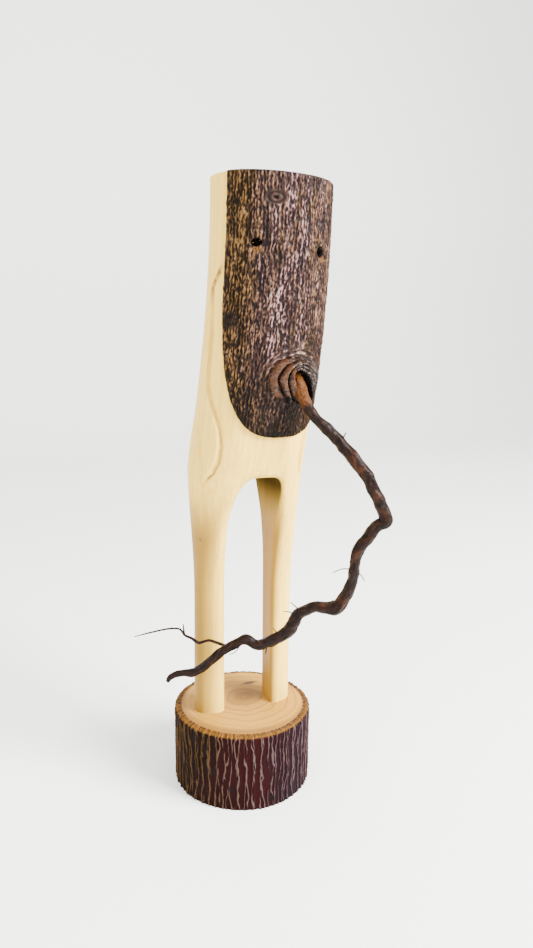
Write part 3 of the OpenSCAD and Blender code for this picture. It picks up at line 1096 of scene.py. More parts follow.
@dataclass
class CarvedFigure:
    """Trunk, hips and legs, carved from one branch and pinned to the base by two dowels."""

    trunk: Trunk
    cell: float = 1.05
    spare: float = 4.0
    arch_left: tuple[float, float] = (0.444, 14)
    arch_right: tuple[float, float] = (0.77, 29)
    speck_turn: float = -66.5
    speck_h: float = 94.5

    def rough_block(self) -> bpy.types.Object:
        """The branch before its arms are carved, with the gap between its legs cut out.

        Returns:
            A scratch object, in millimetres.
        """
        trunk = self.trunk

        def place(u: Array, v: Array) -> tuple[Array, dict[str, Array]]:
            """Puts a sheet round the branch, and a little past its two ends."""
            h = -self.spare + (trunk.figure_h + 2 * self.spare) * v
            return trunk.point(360 * u - 180, h, 0.0), {}

        block = grid_bmesh(72, 70, place)
        close_up(block)
        return self.carve_out(block, self.gap_cutter())

    def gap_cutter(self) -> bmesh.types.BMesh:
        """A block of the gap's shape that reaches through the branch.

        Returns:
            The block.
        """
        trunk = self.trunk
        cutter = bmesh.new()
        half = trunk.gap_w / 2
        outline = [(half, -2 * self.spare)]
        for t in np.linspace(0, math.pi, 29):
            power, rise = self.arch_left if math.cos(t) >= 0 else self.arch_right
            up = trunk.arch_h + rise * (abs(math.sin(t)) ** power - 1)
            outline.append((half * float(signed_power(math.cos(t), power)), up))
        outline.append((-half, -2 * self.spare))
        verts = [cutter.verts.new((x + trunk.gap_x, trunk.trunk_d, trunk.base_h + h)) for x, h in outline]
        face = cutter.faces.new(verts)
        made = bmesh.ops.extrude_face_region(cutter, geom=[face], use_keep_orig=True)
        moved = made_verts(made)
        bmesh.ops.translate(cutter, vec=(0, -2 * trunk.trunk_d, 0), verts=moved)
        bmesh.ops.recalc_face_normals(cutter, faces=cutter.faces)
        return cutter

    def carve_out(self, block: bmesh.types.BMesh, cutter: bmesh.types.BMesh) -> bpy.types.Object:
        """Cuts one mesh out of another and gives the result an even skin of small faces.

        Args:
            block: What is cut, which is freed.
            cutter: What is taken away, which is freed.

        Returns:
            A scratch object, in millimetres.
        """
        made = []
        for name, bm in (("block", block), ("cutter", cutter)):
            mesh = bpy.data.meshes.new(name)
            bm.to_mesh(mesh)
            bm.free()
            scratch = bpy.data.objects.new(name, mesh)
            bpy.context.scene.collection.objects.link(scratch)
            made.append(scratch)
        cut = made[0].modifiers.new("cut", "BOOLEAN")
        cut.operation = "DIFFERENCE"
        cut.object = made[1]
        skin = made[0].modifiers.new("skin", "REMESH")
        skin.mode = "VOXEL"
        skin.voxel_size = self.cell
        shown = made[0].evaluated_get(bpy.context.evaluated_depsgraph_get())
        result = bpy.data.meshes.new_from_object(shown)
        for scratch in made:
            bpy.data.objects.remove(scratch)
        return bpy.data.objects.new("skin", result)

    def settle(self, bm: bmesh.types.BMesh, rounds: int) -> None:
        """Pulls every vertex onto the carved surface.

        Args:
            bm: The mesh.
            rounds: How many times to step towards the surface.
        """
        p = read_points(bm)
        step = 0.02
        for _ in range(rounds):
            here = self.trunk.body_distance(p)
            slope = np.stack([
                (self.trunk.body_distance(p + step * axis) - here) / step for axis in np.eye(3)
            ], axis=-1)
            size = np.maximum((slope ** 2).sum(-1), 0.2)
            p -= slope * (np.clip(here, -1.5, 1.5) / size)[:, None]
        move_points(bm.verts, p)

    def line_faces(self, bm: bmesh.types.BMesh) -> list[bmesh.types.BMFace]:
        """The faces near the carved lines of the arms and hands.

        Args:
            bm: The body's mesh.

        Returns:
            The faces, which need to be finer than the rest.
        """
        centres = np.array([face.calc_center_median()[:] for face in bm.faces])
        h = centres[:, 2] - self.trunk.base_h
        x = centres[:, 0] - self.trunk.centre_x(h)
        angle = np.degrees(np.arctan2(np.abs(x), -centres[:, 1]))
        in_reach = (h > 106) & (h < 232)
        near = (np.abs(angle - lookup(h, ARM_LINE)) < 12) | (
            (np.abs(angle - lookup(h, HAND_LINE)) < 8) & (h < 160))
        return [face for face, wanted in zip(bm.faces, near & in_reach) if wanted]

    def saw(self, bm: bmesh.types.BMesh, spot: tuple, normal: tuple) -> None:
        """Saws the mesh through, drops what is beyond the cut and closes it with a flat face.

        Args:
            bm: The mesh.
            spot: A point on the cut.
            normal: The way out of what stays.
        """
        geom = bm.verts[:] + bm.edges[:] + bm.faces[:]
        bmesh.ops.bisect_plane(bm, geom=geom, dist=1e-4, plane_co=spot, plane_no=normal, clear_outer=True)
        bmesh.ops.holes_fill(bm, edges=rim_edges(bm), sides=0)

    def body(self) -> bpy.types.Object:
        """The carved body as one piece.

        Returns:
            The piece.
        """
        trunk = self.trunk
        rough = self.rough_block()
        bm = bmesh.new()
        bm.from_mesh(rough.data)
        bpy.data.objects.remove(rough)
        self.settle(bm, 4)
        for _ in range(3):
            bmesh.ops.smooth_vert(bm, verts=bm.verts, factor=0.5, use_axis_x=True, use_axis_y=True,
                                  use_axis_z=True)
            self.settle(bm, 2)
        close = self.line_faces(bm)
        edges = list(dict.fromkeys(edge for face in close for edge in face.edges))
        bmesh.ops.subdivide_edges(bm, edges=edges, cuts=1, use_grid_fill=True)
        self.settle(bm, 3)
        slope = math.radians(trunk.top_slope)
        top = float(trunk.centre_x(np.array(trunk.figure_h)))
        self.saw(bm, (top, 0, trunk.base_h + trunk.figure_h), (math.sin(slope), 0, math.cos(slope)))
        self.saw(bm, (0, 0, trunk.base_h), (0, 0, -1))
        bmesh.ops.recalc_face_normals(bm, faces=bm.faces)
        p = read_points(bm)
        h = p[:, 2] - trunk.base_h
        x = p[:, 0] - trunk.centre_x(h)
        angle = np.degrees(np.arctan2(x, -p[:, 1]))
        # Painted shade in the carved arm and hand lines, strongest where LINE_SHADE says.
        carved = np.clip(trunk.arm_carving(angle, h) / trunk.carving, 0, 1) ** 3 * lookup(h, LINE_SHADE)
        bm.normal_update()
        facing = np.array([vert.normal[:] for vert in bm.verts])
        # Painted shade on the legs' sides that face the figure's right, away from the key light, fading out
        # towards the arch.
        sapless = smooth_step(-facing[:, 0], -0.30, 0.75) * (1 - smooth_step(h, 92, 126))
        # Painted shade on the gap's faces just under the arch, mostly those that don't face the front, with
        # some end-grain darkening on the arch's underside.
        inside = 1 - smooth_step(np.abs(trunk.gap_distance(p)), 0.3, 1.8)
        sawn = 0.96 * inside * smooth_step(h, 96, 122) * (0.2 + 0.8 * smooth_step(facing[:, 1], -0.55, -0.1))
        spot = trunk.point(self.speck_turn, self.speck_h, 0.0)
        speck = np.exp(-(((p - spot) / 0.55) ** 2).sum(-1))
        set_layers(bm, {"grain": np.stack([x, p[:, 1], p[:, 2]], axis=-1), "carved": carved, "speck": speck,
                        "sapless": sapless, "sawn": sawn})
        return finish_piece(bm, "carved_body", CarvedWood().build(), ("figure_body",), 38)

    def dowels(self) -> bpy.types.Object:
        """The two fluted dowels inside the legs.

        Returns:
            The piece.
        """
        low, high = (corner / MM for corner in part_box("leg_dowels"))
        r = (high.y - low.y) / 2
        middle = (high.y + low.y) / 2
        whole = bmesh.new()
        for x in (low.x + r, high.x - r):
            bm = spun([(0, low.z, 2), (r - 0.6, low.z, 2), (r, low.z + 0.6, 12), (r, high.z - 0.6, 2),
                       (r - 0.6, high.z, 2), (0, high.z, 0)], steps=96)
            p = read_points(bm)
            angle = np.arctan2(p[:, 1], p[:, 0])
            flute = 1 - 0.05 * (np.cos(angle * 12) > 0.4)
            p[:, :2] = p[:, :2] * flute[:, None] + (x, middle)
            move_points(bm.verts, p)
            plain = {name: np.zeros(len(p)) for name in ("carved", "speck", "sapless", "sawn")}
            set_layers(bm, {"grain": p, **plain})
            add_mesh(whole, bm)
        wood = CarvedWood("dowel wood", (0.66, 0.48, 0.28), (0.46, 0.30, 0.15), 0.55, 1.6)
        return finish_piece(whole, "fluted_dowels", wood.build(), ("leg_dowels",), 40)

    def build(self) -> None:
        """Makes the body and its dowels."""
        self.body()
        self.dowels()


# ---------------------------------------------------------------- the bark face and its knot


@dataclass
class BarkFace:
    """The bark left on the front of the branch, with its eyes and knots."""

    trunk: Trunk
    thick: float = 2.0
    gap: float = 0.15
    half: float = 73.0
    turn: float = 12.0
    round_h: float = 70.0
    cols: int = 232
    rows: int = 336
    ridges: RandomField = field(default_factory=lambda: RandomField(21))
    patches: RandomField = field(default_factory=lambda: RandomField(22))
    braid_gaps: tuple[float, float] = (1.45, 1.85)
    braid_width: float = 0.32
    eye_depth: float = 4.6
    scratch_h: float = 233.1
    knots: tuple[Mark, ...] = (
        Mark(-12.7, 252.3, 7.8, 5.2), Mark(33, 258.0, 3.2, 2.8), Mark(60, 258.6, 3.4, 2.8),
    )
    stain: Mark = Mark(-51, 199.5, 15.0, 11.0)
    gold: Mark = Mark(-43, 188, 13.0, 15.0)
    faded: Mark = Mark(-9, 207, 12.0, 22.0)

    def reach(self, h: Array) -> Array:
        """Half the face's width in degrees at a height."""
        share = np.clip((h - self.trunk.face_h + 0.2) / (self.round_h + 0.2), 0, 1)
        return self.half * (1 - (1 - share) ** 2) ** 0.41

    def ridge_height(self, angle: Array, h: Array) -> Array:
        """How high the fine rippled ridges stand. They run round the nose's knot.

        Args:
            angle: Angles round the trunk.
            h: Heights.

        Returns:
            Heights from 0 to 1.
        """
        trunk = self.trunk
        s = angle * math.pi / 180 * trunk.trunk_w / 2
        ds = s - (trunk.nose_turn - 2) * math.pi / 180 * trunk.trunk_w / 2
        dt = h - trunk.socket_h - 2
        reach = np.hypot(ds, dt)
        rings = (1 - smooth_step(reach, 12, 19)) * smooth_step(dt, -6, 3)
        round_it = self.braid(reach * 0.8, np.arctan2(dt, ds) * 13, h)
        return self.braid(s, h, h) * (1 - rings) + round_it * rings

    def braid(self, s: Array, h: Array, level: Array) -> Array:
        """A net of fine ridges that run along h.

        Args:
            s: How far across the ridges, in millimetres.
            h: How far along them.
            level: The height on the figure, which is read but multiplied by 0, so it doesn't vary the net.

        Returns:
            Heights from 0 to 1.
        """
        total = np.zeros(np.broadcast(s, h).shape)
        for k, gap in enumerate(self.braid_gaps):
            sway = 0.60 * self.patches.at(s / 3.6 + 30 * k, 3, h / 6.5) + 0.42 * self.ridges.at(
                s / 1.3, 9 + 20 * k, h / 2.3)
            line = wavy_lines(s / gap + 0.4 * k + sway, gap, self.braid_width)
            broken = smooth_step(self.ridges.at(s / 1.3 + 12 * k, 5, h / 3.4), -0.35, 0.25)
            total = np.maximum(total, line * (0.15 + 0.85 * broken))
        grit = self.ridges.layered(s / 0.95, level * 0 + 8.1, h / 1.7, 2)
        swath = self.patches.layered(s / 3.2, 11.3, h / 16, 2)
        return np.clip(0.15 + 0.66 * total + 0.40 * grit + 0.24 * swath, 0, 1)

    def mound(self, angle: Array, h: Array) -> Array:
        """How far the bark swells round the nose's knot."""
        around = Mark(self.trunk.nose_turn - 2, self.trunk.socket_h + 2, 34, 38)
        return 1.7 * (1 - smooth_step(around.distance(self.trunk, angle, h), 0.45, 1.0))

    def place(self, u: Array, v: Array) -> tuple[Array, dict[str, Array]]:
        """Where the outer face of the bark goes, and what its finish reads.

        Args:
            u: How far across the face, from 0 to 1.
            v: How far up it.

        Returns:
            The points, and the named values of each.
        """
        trunk = self.trunk
        h = trunk.face_h + (trunk.figure_h - trunk.face_h) * v ** 1.22
        side = 2 * u - 1
        angle = self.turn + side * self.reach(h)
        h = trunk.face_h + (trunk.top_at(angle) - trunk.face_h) * v ** 1.22
        ragged = self.patches.at(h / 3.0, side * 4, 2.2) * 0.9 * smooth_step(np.abs(side), 0.8, 1.0)
        angle = angle + ragged
        ridge = self.ridge_height(angle, h)
        edge = np.minimum((1 - np.abs(side)) * self.reach(h) * 0.47, (h - trunk.face_h + 0.4) * 1.0)
        lip = smooth_step(edge, 0.0, 1.1)
        out = self.gap + self.thick * (0.55 + 0.45 * lip) + (ridge - 0.55) * 0.85 * (0.35 + 0.65 * lip)
        out = out + self.mound(angle, h) + 0.35 * self.patches.at(angle / 16, 5, h / 14)
        rough = 0.16 * self.ridges.at(angle / 2.2, 1, h / 1.2)
        out, dark, bare = self.drill_eyes(angle, h, rough, out)
        out, ridge, dark = self.sink_knots(angle, h, rough, out, ridge, dark)
        scratch = np.exp(-((h - self.scratch_h) / 0.25) ** 2) * smooth_step(angle, -27, -25)
        scratch = scratch * (1 - smooth_step(angle, -10, -8))
        out = out - 0.3 * scratch
        values = self.tones(angle, h, rough, ridge, np.maximum(dark, 0.6 * scratch), bare)
        values["turn"], values["rise"] = angle, h
        return trunk.point(angle, h, out), values

    def drill_eyes(self, angle: Array, h: Array, rough: Array, out: Array) -> tuple[Array, Array, Array]:
        """Sinks the eye holes, paints shade in and round each, and bares the bark under each.

        Args:
            angle: Angles round the trunk.
            h: Heights.
            rough: How uneven a mark's edge is.
            out: Distances out from the wood.

        Returns:
            The new distances, how dark each place is from the painted shade of the holes, and how bare.
        """
        dark = np.zeros(len(h))
        bare = np.zeros(len(h))
        for eye in EYES:
            away = eye.distance(self.trunk, angle, h) + rough
            hole = 1 - smooth_step(away, 0.80, 1.12)
            out = out - hole * self.eye_depth
            # Painted shade: near black in each eye hole and just round its rim.
            dark = np.maximum(dark, 1 - smooth_step(away, 0.95, 1.3))
            patch = Mark(eye.angle + 2.0, eye.h - 2.9, 5.0, 3.6).distance(self.trunk, angle, h) + rough
            bare = np.maximum(bare, (1 - smooth_step(patch, 0.6, 1.1)) * 0.8)
        return out, dark, bare

    def sink_knots(self, angle: Array, h: Array, rough: Array, out: Array, ridge: Array,
                   dark: Array) -> tuple[Array, Array, Array]:
        """Marks the small knots, each with a ring and a pit.

        Args:
            angle: Angles round the trunk.
            h: Heights.
            rough: How uneven a mark's edge is.
            out: Distances out from the wood.
            ridge: How high the ridges stand.
            dark: How dark each place is.

        Returns:
            The new distances, ridges and darkness.
        """
        for knot in self.knots:
            away = knot.distance(self.trunk, angle, h) + rough * 0.5
            calm = 1 - smooth_step(away, 1.0, 1.5)
            ring = np.exp(-((away - 0.82) / 0.20) ** 2)
            pit = 1 - smooth_step(away, 0.15, 0.42)
            out = out - (ridge - 0.5) * 0.7 * calm - 0.6 * ring - 1.1 * pit
            ridge = ridge * (1 - calm) + calm * 0.45
            dark = np.maximum(dark, np.maximum(0.86 * ring, 0.95 * pit))
        return out, ridge, dark

    def tones(self, angle: Array, h: Array, rough: Array, ridge: Array, dark: Array,
              bare: Array) -> dict[str, Array]:
        """Spreads the face's colours: olive on its right, pale and rusty in the middle, dark below.

        Args:
            angle: Angles round the trunk.
            h: Heights.
            rough: How uneven a mark's edge is.
            ridge: How high the ridges stand.
            dark: How dark each place is from the painted shade of its eyes, and from its knots and scratch.
            bare: How bare each place is.

        Returns:
            What the finish reads, by name.
        """
        trunk = self.trunk
        stain = 1 - smooth_step(self.stain.distance(trunk, angle, h) + rough * 2, 0.3, 1.15)
        low_dark = 1 - smooth_step(h, 150, 190)
        right = smooth_step(angle, 36, 62)
        blotch = smooth_step(self.patches.layered(angle / 14 + 9, 6, h / 10, 2), 0.18, 0.6)
        dark = np.maximum.reduce([dark, 0.85 * stain, 0.50 * low_dark, 0.30 * right, 0.5 * blotch])
        olive = smooth_step(-angle, 14, 45)
        streaks = self.patches.layered(angle / 9 + 60, 2, h / 30, 3)
        middle = np.exp(-((angle - 4) / 25) ** 2)
        pale = np.clip(smooth_step(middle + 1.3 * streaks, 0.55, 1.15) * (1 - 0.75 * low_dark), 0, 1)
        pale = pale + 0.22 * smooth_step(angle, 45, 75) * (1 - pale)
        rust = np.exp(-((angle - 14) / 26) ** 2)
        rust = rust * smooth_step(self.patches.at(angle / 6, 7, h / 22), 0.0, 0.3)
        hue = np.clip(0.5 + 0.42 * olive + 0.5 * rust + 0.25 * low_dark - 0.5 * pale + 0.25 * streaks, 0, 1)
        mottled = self.patches.layered(angle / 11, 4, h / 11, 2)
        gold = 1 - smooth_step(self.gold.distance(trunk, angle, h) + rough * 3, 0.2, 1.2)
        faded = 1 - smooth_step(self.faded.distance(trunk, angle, h) + rough * 3, 0.1, 1.2)
        pale = np.clip(pale + 0.55 * faded, 0, 1)
        dull = 1 + 0.12 * olive - 0.26 * low_dark - 0.14 * right - 0.14 * rust + 0.34 * mottled
        dull = dull + 0.30 * gold + 0.15 * faded
        grain = np.stack([angle * 0.48, np.zeros(len(h)), h], axis=-1)
        return bark_values(grain, ridge * dull, hue=hue, bare=bare, dark=dark, patch=pale)

    def near_eye(self, angle: float, h: float) -> bool:
        """Whether a place is close to an eye hole."""
        return any(float(eye.distance(self.trunk, np.array(angle), np.array(h))) < 2.2 for eye in EYES)

    def coarsen(self, bm: bmesh.types.BMesh, verts: list[bmesh.types.BMVert]) -> None:
        """Leaves a hidden surface with fewer points, since it only has to lie on the wood.

        Args:
            bm: The mesh.
            verts: The hidden surface's points, of which the ones at its rim are kept.
        """
        hidden = set(verts)
        inside = [vert for vert in verts if all(edge.other_vert(vert) in hidden for edge in vert.link_edges)]
        bmesh.ops.unsubdivide(bm, verts=inside, iterations=4)

    def build(self) -> bpy.types.Object:
        """Makes the bark face as one closed piece.

        Returns:
            The piece.
        """
        bm = grid_bmesh(self.cols, self.rows, self.place)
        turn = bm.verts.layers.float["turn"]
        rise = bm.verts.layers.float["rise"]
        made = bmesh.ops.extrude_face_region(bm, geom=bm.faces[:], use_keep_orig=True)
        back = made_verts(made)
        angle = np.array([vert[turn] for vert in back])
        h = np.array([vert[rise] for vert in back])
        move_points(back, self.trunk.point(angle, h, self.gap - self.trunk.pocket_depth(angle, h)))
        plain = [vert for vert in back if vert[rise] < 260 and not self.near_eye(vert[turn], vert[rise])]
        self.coarsen(bm, plain)
        bmesh.ops.recalc_face_normals(bm, faces=bm.faces)
        return finish_piece(bm, "face_bark", FACE_BARK.build(), ("bark_face",), 180)


@dataclass
class KnotCollar:
    """The callus that a lost branch left: rolls of bark round the mouth that holds the nose."""

    trunk: Trunk
    face: BarkFace
    reach_s: float = 11.2
    reach_t: float = 12.3
    shift: float = 0.7
    up: float = 2.5
    rise: float = 4.4
    around: int = 440
    rings: int = 130
    rolls: tuple[float, ...] = (0.0, 0.34, 0.60, 1.0)
    arcs: tuple[float, ...] = tuple(np.linspace(0, 1, 7))
    mouth: tuple[float, float] = (3.0, 8.6)
    mouth_at: tuple[float, float] = (0.1, -0.2)
    mouth_tilt: float = 31.0
    inside: float = 0.14

    def outline(self, turn: Array, inner: Array) -> tuple[Array, Array]:
        """Places between the collar's rim and its mouth.

        Args:
            turn: Angles round the collar, from the figure's left and upwards.
            inner: 0 at the rim and 1 at the mouth.

        Returns:
            How far across and how far up each is from the nose's socket.
        """
        rim_s = -self.shift + self.reach_s * np.cos(turn) * (1 + 0.03 * np.sin(3 * turn))
        rim_t = self.up + self.reach_t * np.sin(turn) * (1 + 0.03 * np.cos(2 * turn + 0.6))
        tilt = math.radians(self.mouth_tilt)
        a, b = self.mouth[0] * np.cos(turn), self.mouth[1] * np.sin(turn)
        mouth_s = self.mouth_at[0] + a * math.cos(tilt) - b * math.sin(tilt)
        mouth_t = self.mouth_at[1] + b * math.cos(tilt) + a * math.sin(tilt)
        return rim_s + (mouth_s - rim_s) * inner, rim_t + (mouth_t - rim_t) * inner

    def roll(self, level: Array, edges: tuple[float, ...]) -> Array:
        """Rounded rolls between edges.

        Args:
            level: How far in each place is, from 0 at the rim to 1 at the mouth.
            edges: Where one roll ends and the next starts.

        Returns:
            0 at each edge and 1 on top of each roll.
        """
        i = np.clip(np.searchsorted(edges, level, side="right") - 1, 0, len(edges) - 2)
        low, high = np.array(edges)[i], np.array(edges)[i + 1]
        return np.abs(np.sin(math.pi * np.clip((level - low) / (high - low), 0, 1))) ** 0.45

    def place(self, u: Array, v: Array) -> tuple[Array, dict[str, Array]]:
        """Where the collar's face goes: over its rolls to the mouth, and down inside it.

        Args:
            u: How far round the collar, from 0 to 1.
            v: How far in from its rim.

        Returns:
            The points, and the named values of each.
        """
        trunk = self.trunk
        waves = self.face.patches
        turn = math.tau * u
        x, y = np.cos(turn), np.sin(turn)
        shown = 1 - self.inside
        inner = np.minimum(v / shown, 1)
        down = np.maximum(v - shown, 0) / self.inside
        s, t = self.outline(turn, inner)
        angle = trunk.nose_turn + np.degrees(np.arcsin(np.clip(s / (trunk.trunk_w / 2), -1, 1)))
        h = trunk.socket_h + t
        left = smooth_step(np.cos(turn - math.radians(186)), -0.05, 0.72)
        level = np.clip(inner + 0.022 * waves.at(x * 3.5, y * 3.5, inner * 5), 0, 1)
        thick_roll = self.roll(level, self.rolls)
        arc = self.roll(np.clip(level + 0.02 * waves.at(x * 7, y * 7, inner * 9), 0, 1), self.arcs)
        top = smooth_step(y, -0.5, 0.4)
        swell = self.rise * smooth_step(inner, 0.0, 0.62) * (0.62 + 0.38 * top)
        hollow = np.exp(-(((s + 4.6) / 4.8) ** 2 + ((t + 7.6) / 2.9) ** 2))
        rough = self.face.ridges.layered(s / 1.1, t / 1.1, inner, 3)
        start = smooth_step(inner, 0.0, 0.06)
        out = self.face.gap + self.face.thick + self.face.mound(angle, h) - 0.9 * (1 - start)
        out = out + swell + start * left * (2.6 * thick_roll - 1.6) + start * (1 - left) * (0.50 * arc - 0.2)
        out = out + 0.22 * rough * (1.2 - left) - 3.4 * hollow * start - 6.5 * smooth_step(down, 0.0, 1.0)
        # Painted shade: dark in the gaps between the rolls and between the fine arcs, down the mouth's walls,
        # in the hollow below the rolls and at the mouth's edge.
        roll_gap_shade = 1 - smooth_step(thick_roll, 0.45, 0.85)
        dark = np.clip(left * roll_gap_shade + 0.45 * (1 - left) * (1 - smooth_step(arc, 0.2, 0.7)), 0, 1)
        dark = dark * start + 1.5 * down + 1.1 * smooth_step(hollow, 0.12, 0.55)
        dark = np.clip(dark + 0.9 * smooth_step(inner, 0.93, 0.99), 0, 1)
        glow = left * smooth_step(waves.at(s / 2.6, t / 4.5, 4.0) + 0.45 * left, 0.0, 0.5) * start
        relief = np.clip(0.22 + 0.30 * arc * (1 - left) + 0.35 * left * thick_roll + 0.55 * rough, 0, 1)
        # The paler ridges on the upper half of the left rolls are a painted highlight; those on the right are
        # the bark's own grey.
        patch = 0.3 * (1 - left) * smooth_step(x, -0.4, 0.8) + 0.1 * left * smooth_step(y, 0, 0.8)
        grain = np.stack([s, t, inner * 10], axis=-1)
        values = bark_values(grain, relief, hue=0.5 + 0.25 * left, bare=np.clip(glow, 0, 0.9), dark=dark,
                             patch=np.clip(patch, 0, 1))
        return trunk.point(angle, h, out), values

    def build(self) -> bpy.types.Object:
        """Makes the collar as one closed ring.

        Returns:
            The piece.
        """
        bm = grid_bmesh(self.around, self.rings, self.place)
        weld_rim(bm)
        made = bmesh.ops.extrude_edge_only(bm, edges=rim_edges(bm))
        low = made_verts(made)
        turn = math.radians(self.trunk.nose_turn)
        inwards = Vector((-math.sin(turn), math.cos(turn), 0))
        bmesh.ops.translate(bm, vec=inwards * 1.2, verts=low)
        bmesh.ops.bridge_loops(bm, edges=rim_edges(bm))
        bmesh.ops.recalc_face_normals(bm, faces=bm.faces)
        return finish_piece(bm, "knot_rolls", KNOT_BARK.build(), ("knot_collar",), 180)


# ---------------------------------------------------------------- the root


# The root's way from its knot to its tip, as left, forward and up from the middle of the base's top,
# and its thickness. The same way as in the model that the frame holds.
NOSE_ROUTE = [
    (15.5, 27.5, 177.5, 3.2), (16.0, 30.8, 173.5, 4.8), (16.4, 34, 168.5, 5.2), (17.3, 37.5, 163.8, 4.8),
    (19.8, 41.2, 157.8, 4.4), (25.5, 44.5, 151.5, 5), (33.5, 49.5, 142, 5.4), (40.5, 54, 132, 5.6),
    (44.5, 56.5, 123, 5.2), (47.3, 57.8, 116.5, 5.6), (48.7, 58.8, 111, 5.9),
    (45, 57.3, 108, 5.4), (41.5, 55, 101.5, 5.3), (38, 53, 95, 5.1), (37.5, 52, 88.5, 4.9),
    (37, 51, 81.5, 4.9), (35, 49, 73.5, 5.2), (31.5, 47, 67, 6.1), (27, 44, 66, 5),
    (22, 41.5, 66, 5), (16, 38.5, 62.5, 5.3), (13.5, 36.5, 57, 5.5), (10, 34, 51, 5.6),
    (4, 30.5, 47, 5.1), (-1, 27.5, 44, 4.4), (-7, 24.5, 46.5, 4.4), (-11.5, 22, 43.5, 4.2),
    (-16, 19.5, 40.5, 4.2), (-20.5, 17, 35.5, 4.2), (-25.5, 14.5, 30.5, 4), (-30, 12.5, 27.5, 3.7),
    (-34.5, 10.4, 27, 3.3), (-38, 8.8, 26, 2.9), (-40.6, 7.6, 24.2, 2.6), (-41.8, 7.0, 22.0, 1.9),
]
ROOTLET_ROUTE = [
    (-14.5, 20.5, 42, 1.6), (-17, 20, 43.5, 1.6), (-20.5, 19, 45, 1.5), (-23.5, 18, 46, 1.3),
    (-27.5, 16, 44.5, 1.4), (-29.5, 15.5, 45.5, 1.6), (-31, 14, 46.5, 1.3), (-34, 12.5, 48, 1.2),
    (-36.5, 11, 51, 1), (-42, 9, 51, 0.9), (-50, 5, 48.5, 0.8), (-56.9, 1.5, 46, 0.4),
]
TWIG_ROUTE = [(-34.3, 12.5, 48.5, 1), (-34.6, 12.6, 51, 0.8), (-34.8, 12.4, 54, 0.5)]
HAIR_ROUTES = [
    [(15.5, 38.2, 64.5, 0.6), (13, 38.5, 67, 0.5), (11, 38.7, 69, 0.4)],
    [(14, 37.4, 62, 0.6), (11, 37, 63.4, 0.5), (8, 36.6, 64, 0.4)],
    [(7.5, 32.5, 50.5, 0.6), (5.5, 33.6, 53, 0.5), (4, 34.2, 55, 0.4)],
    [(37, 51.5, 86.5, 0.6), (32, 50.5, 87, 0.5), (27.5, 49.6, 85.5, 0.4)],
    [(38.5, 52, 85.5, 0.6), (40.5, 53.5, 83.5, 0.5), (41.5, 54.5, 81, 0.4)],
    [(-9, 24, 44, 0.6), (-12, 24.5, 41, 0.5), (-14.5, 23.5, 39.5, 0.4)],
    [(2.5, 29.5, 45, 0.7), (2.2, 30, 42.5, 0.6), (1.8, 30.4, 40.5, 0.5)],
    [(30.5, 48.5, 146.5, 0.8), (31.3, 49.4, 149.5, 0.6), (31.8, 50, 151, 0.5)],
]


@dataclass(frozen=True)
class Knob:
    """A swelling on the root, at a place and with a size."""

    spot: tuple[float, float, float]
    swell: float
    reach: float


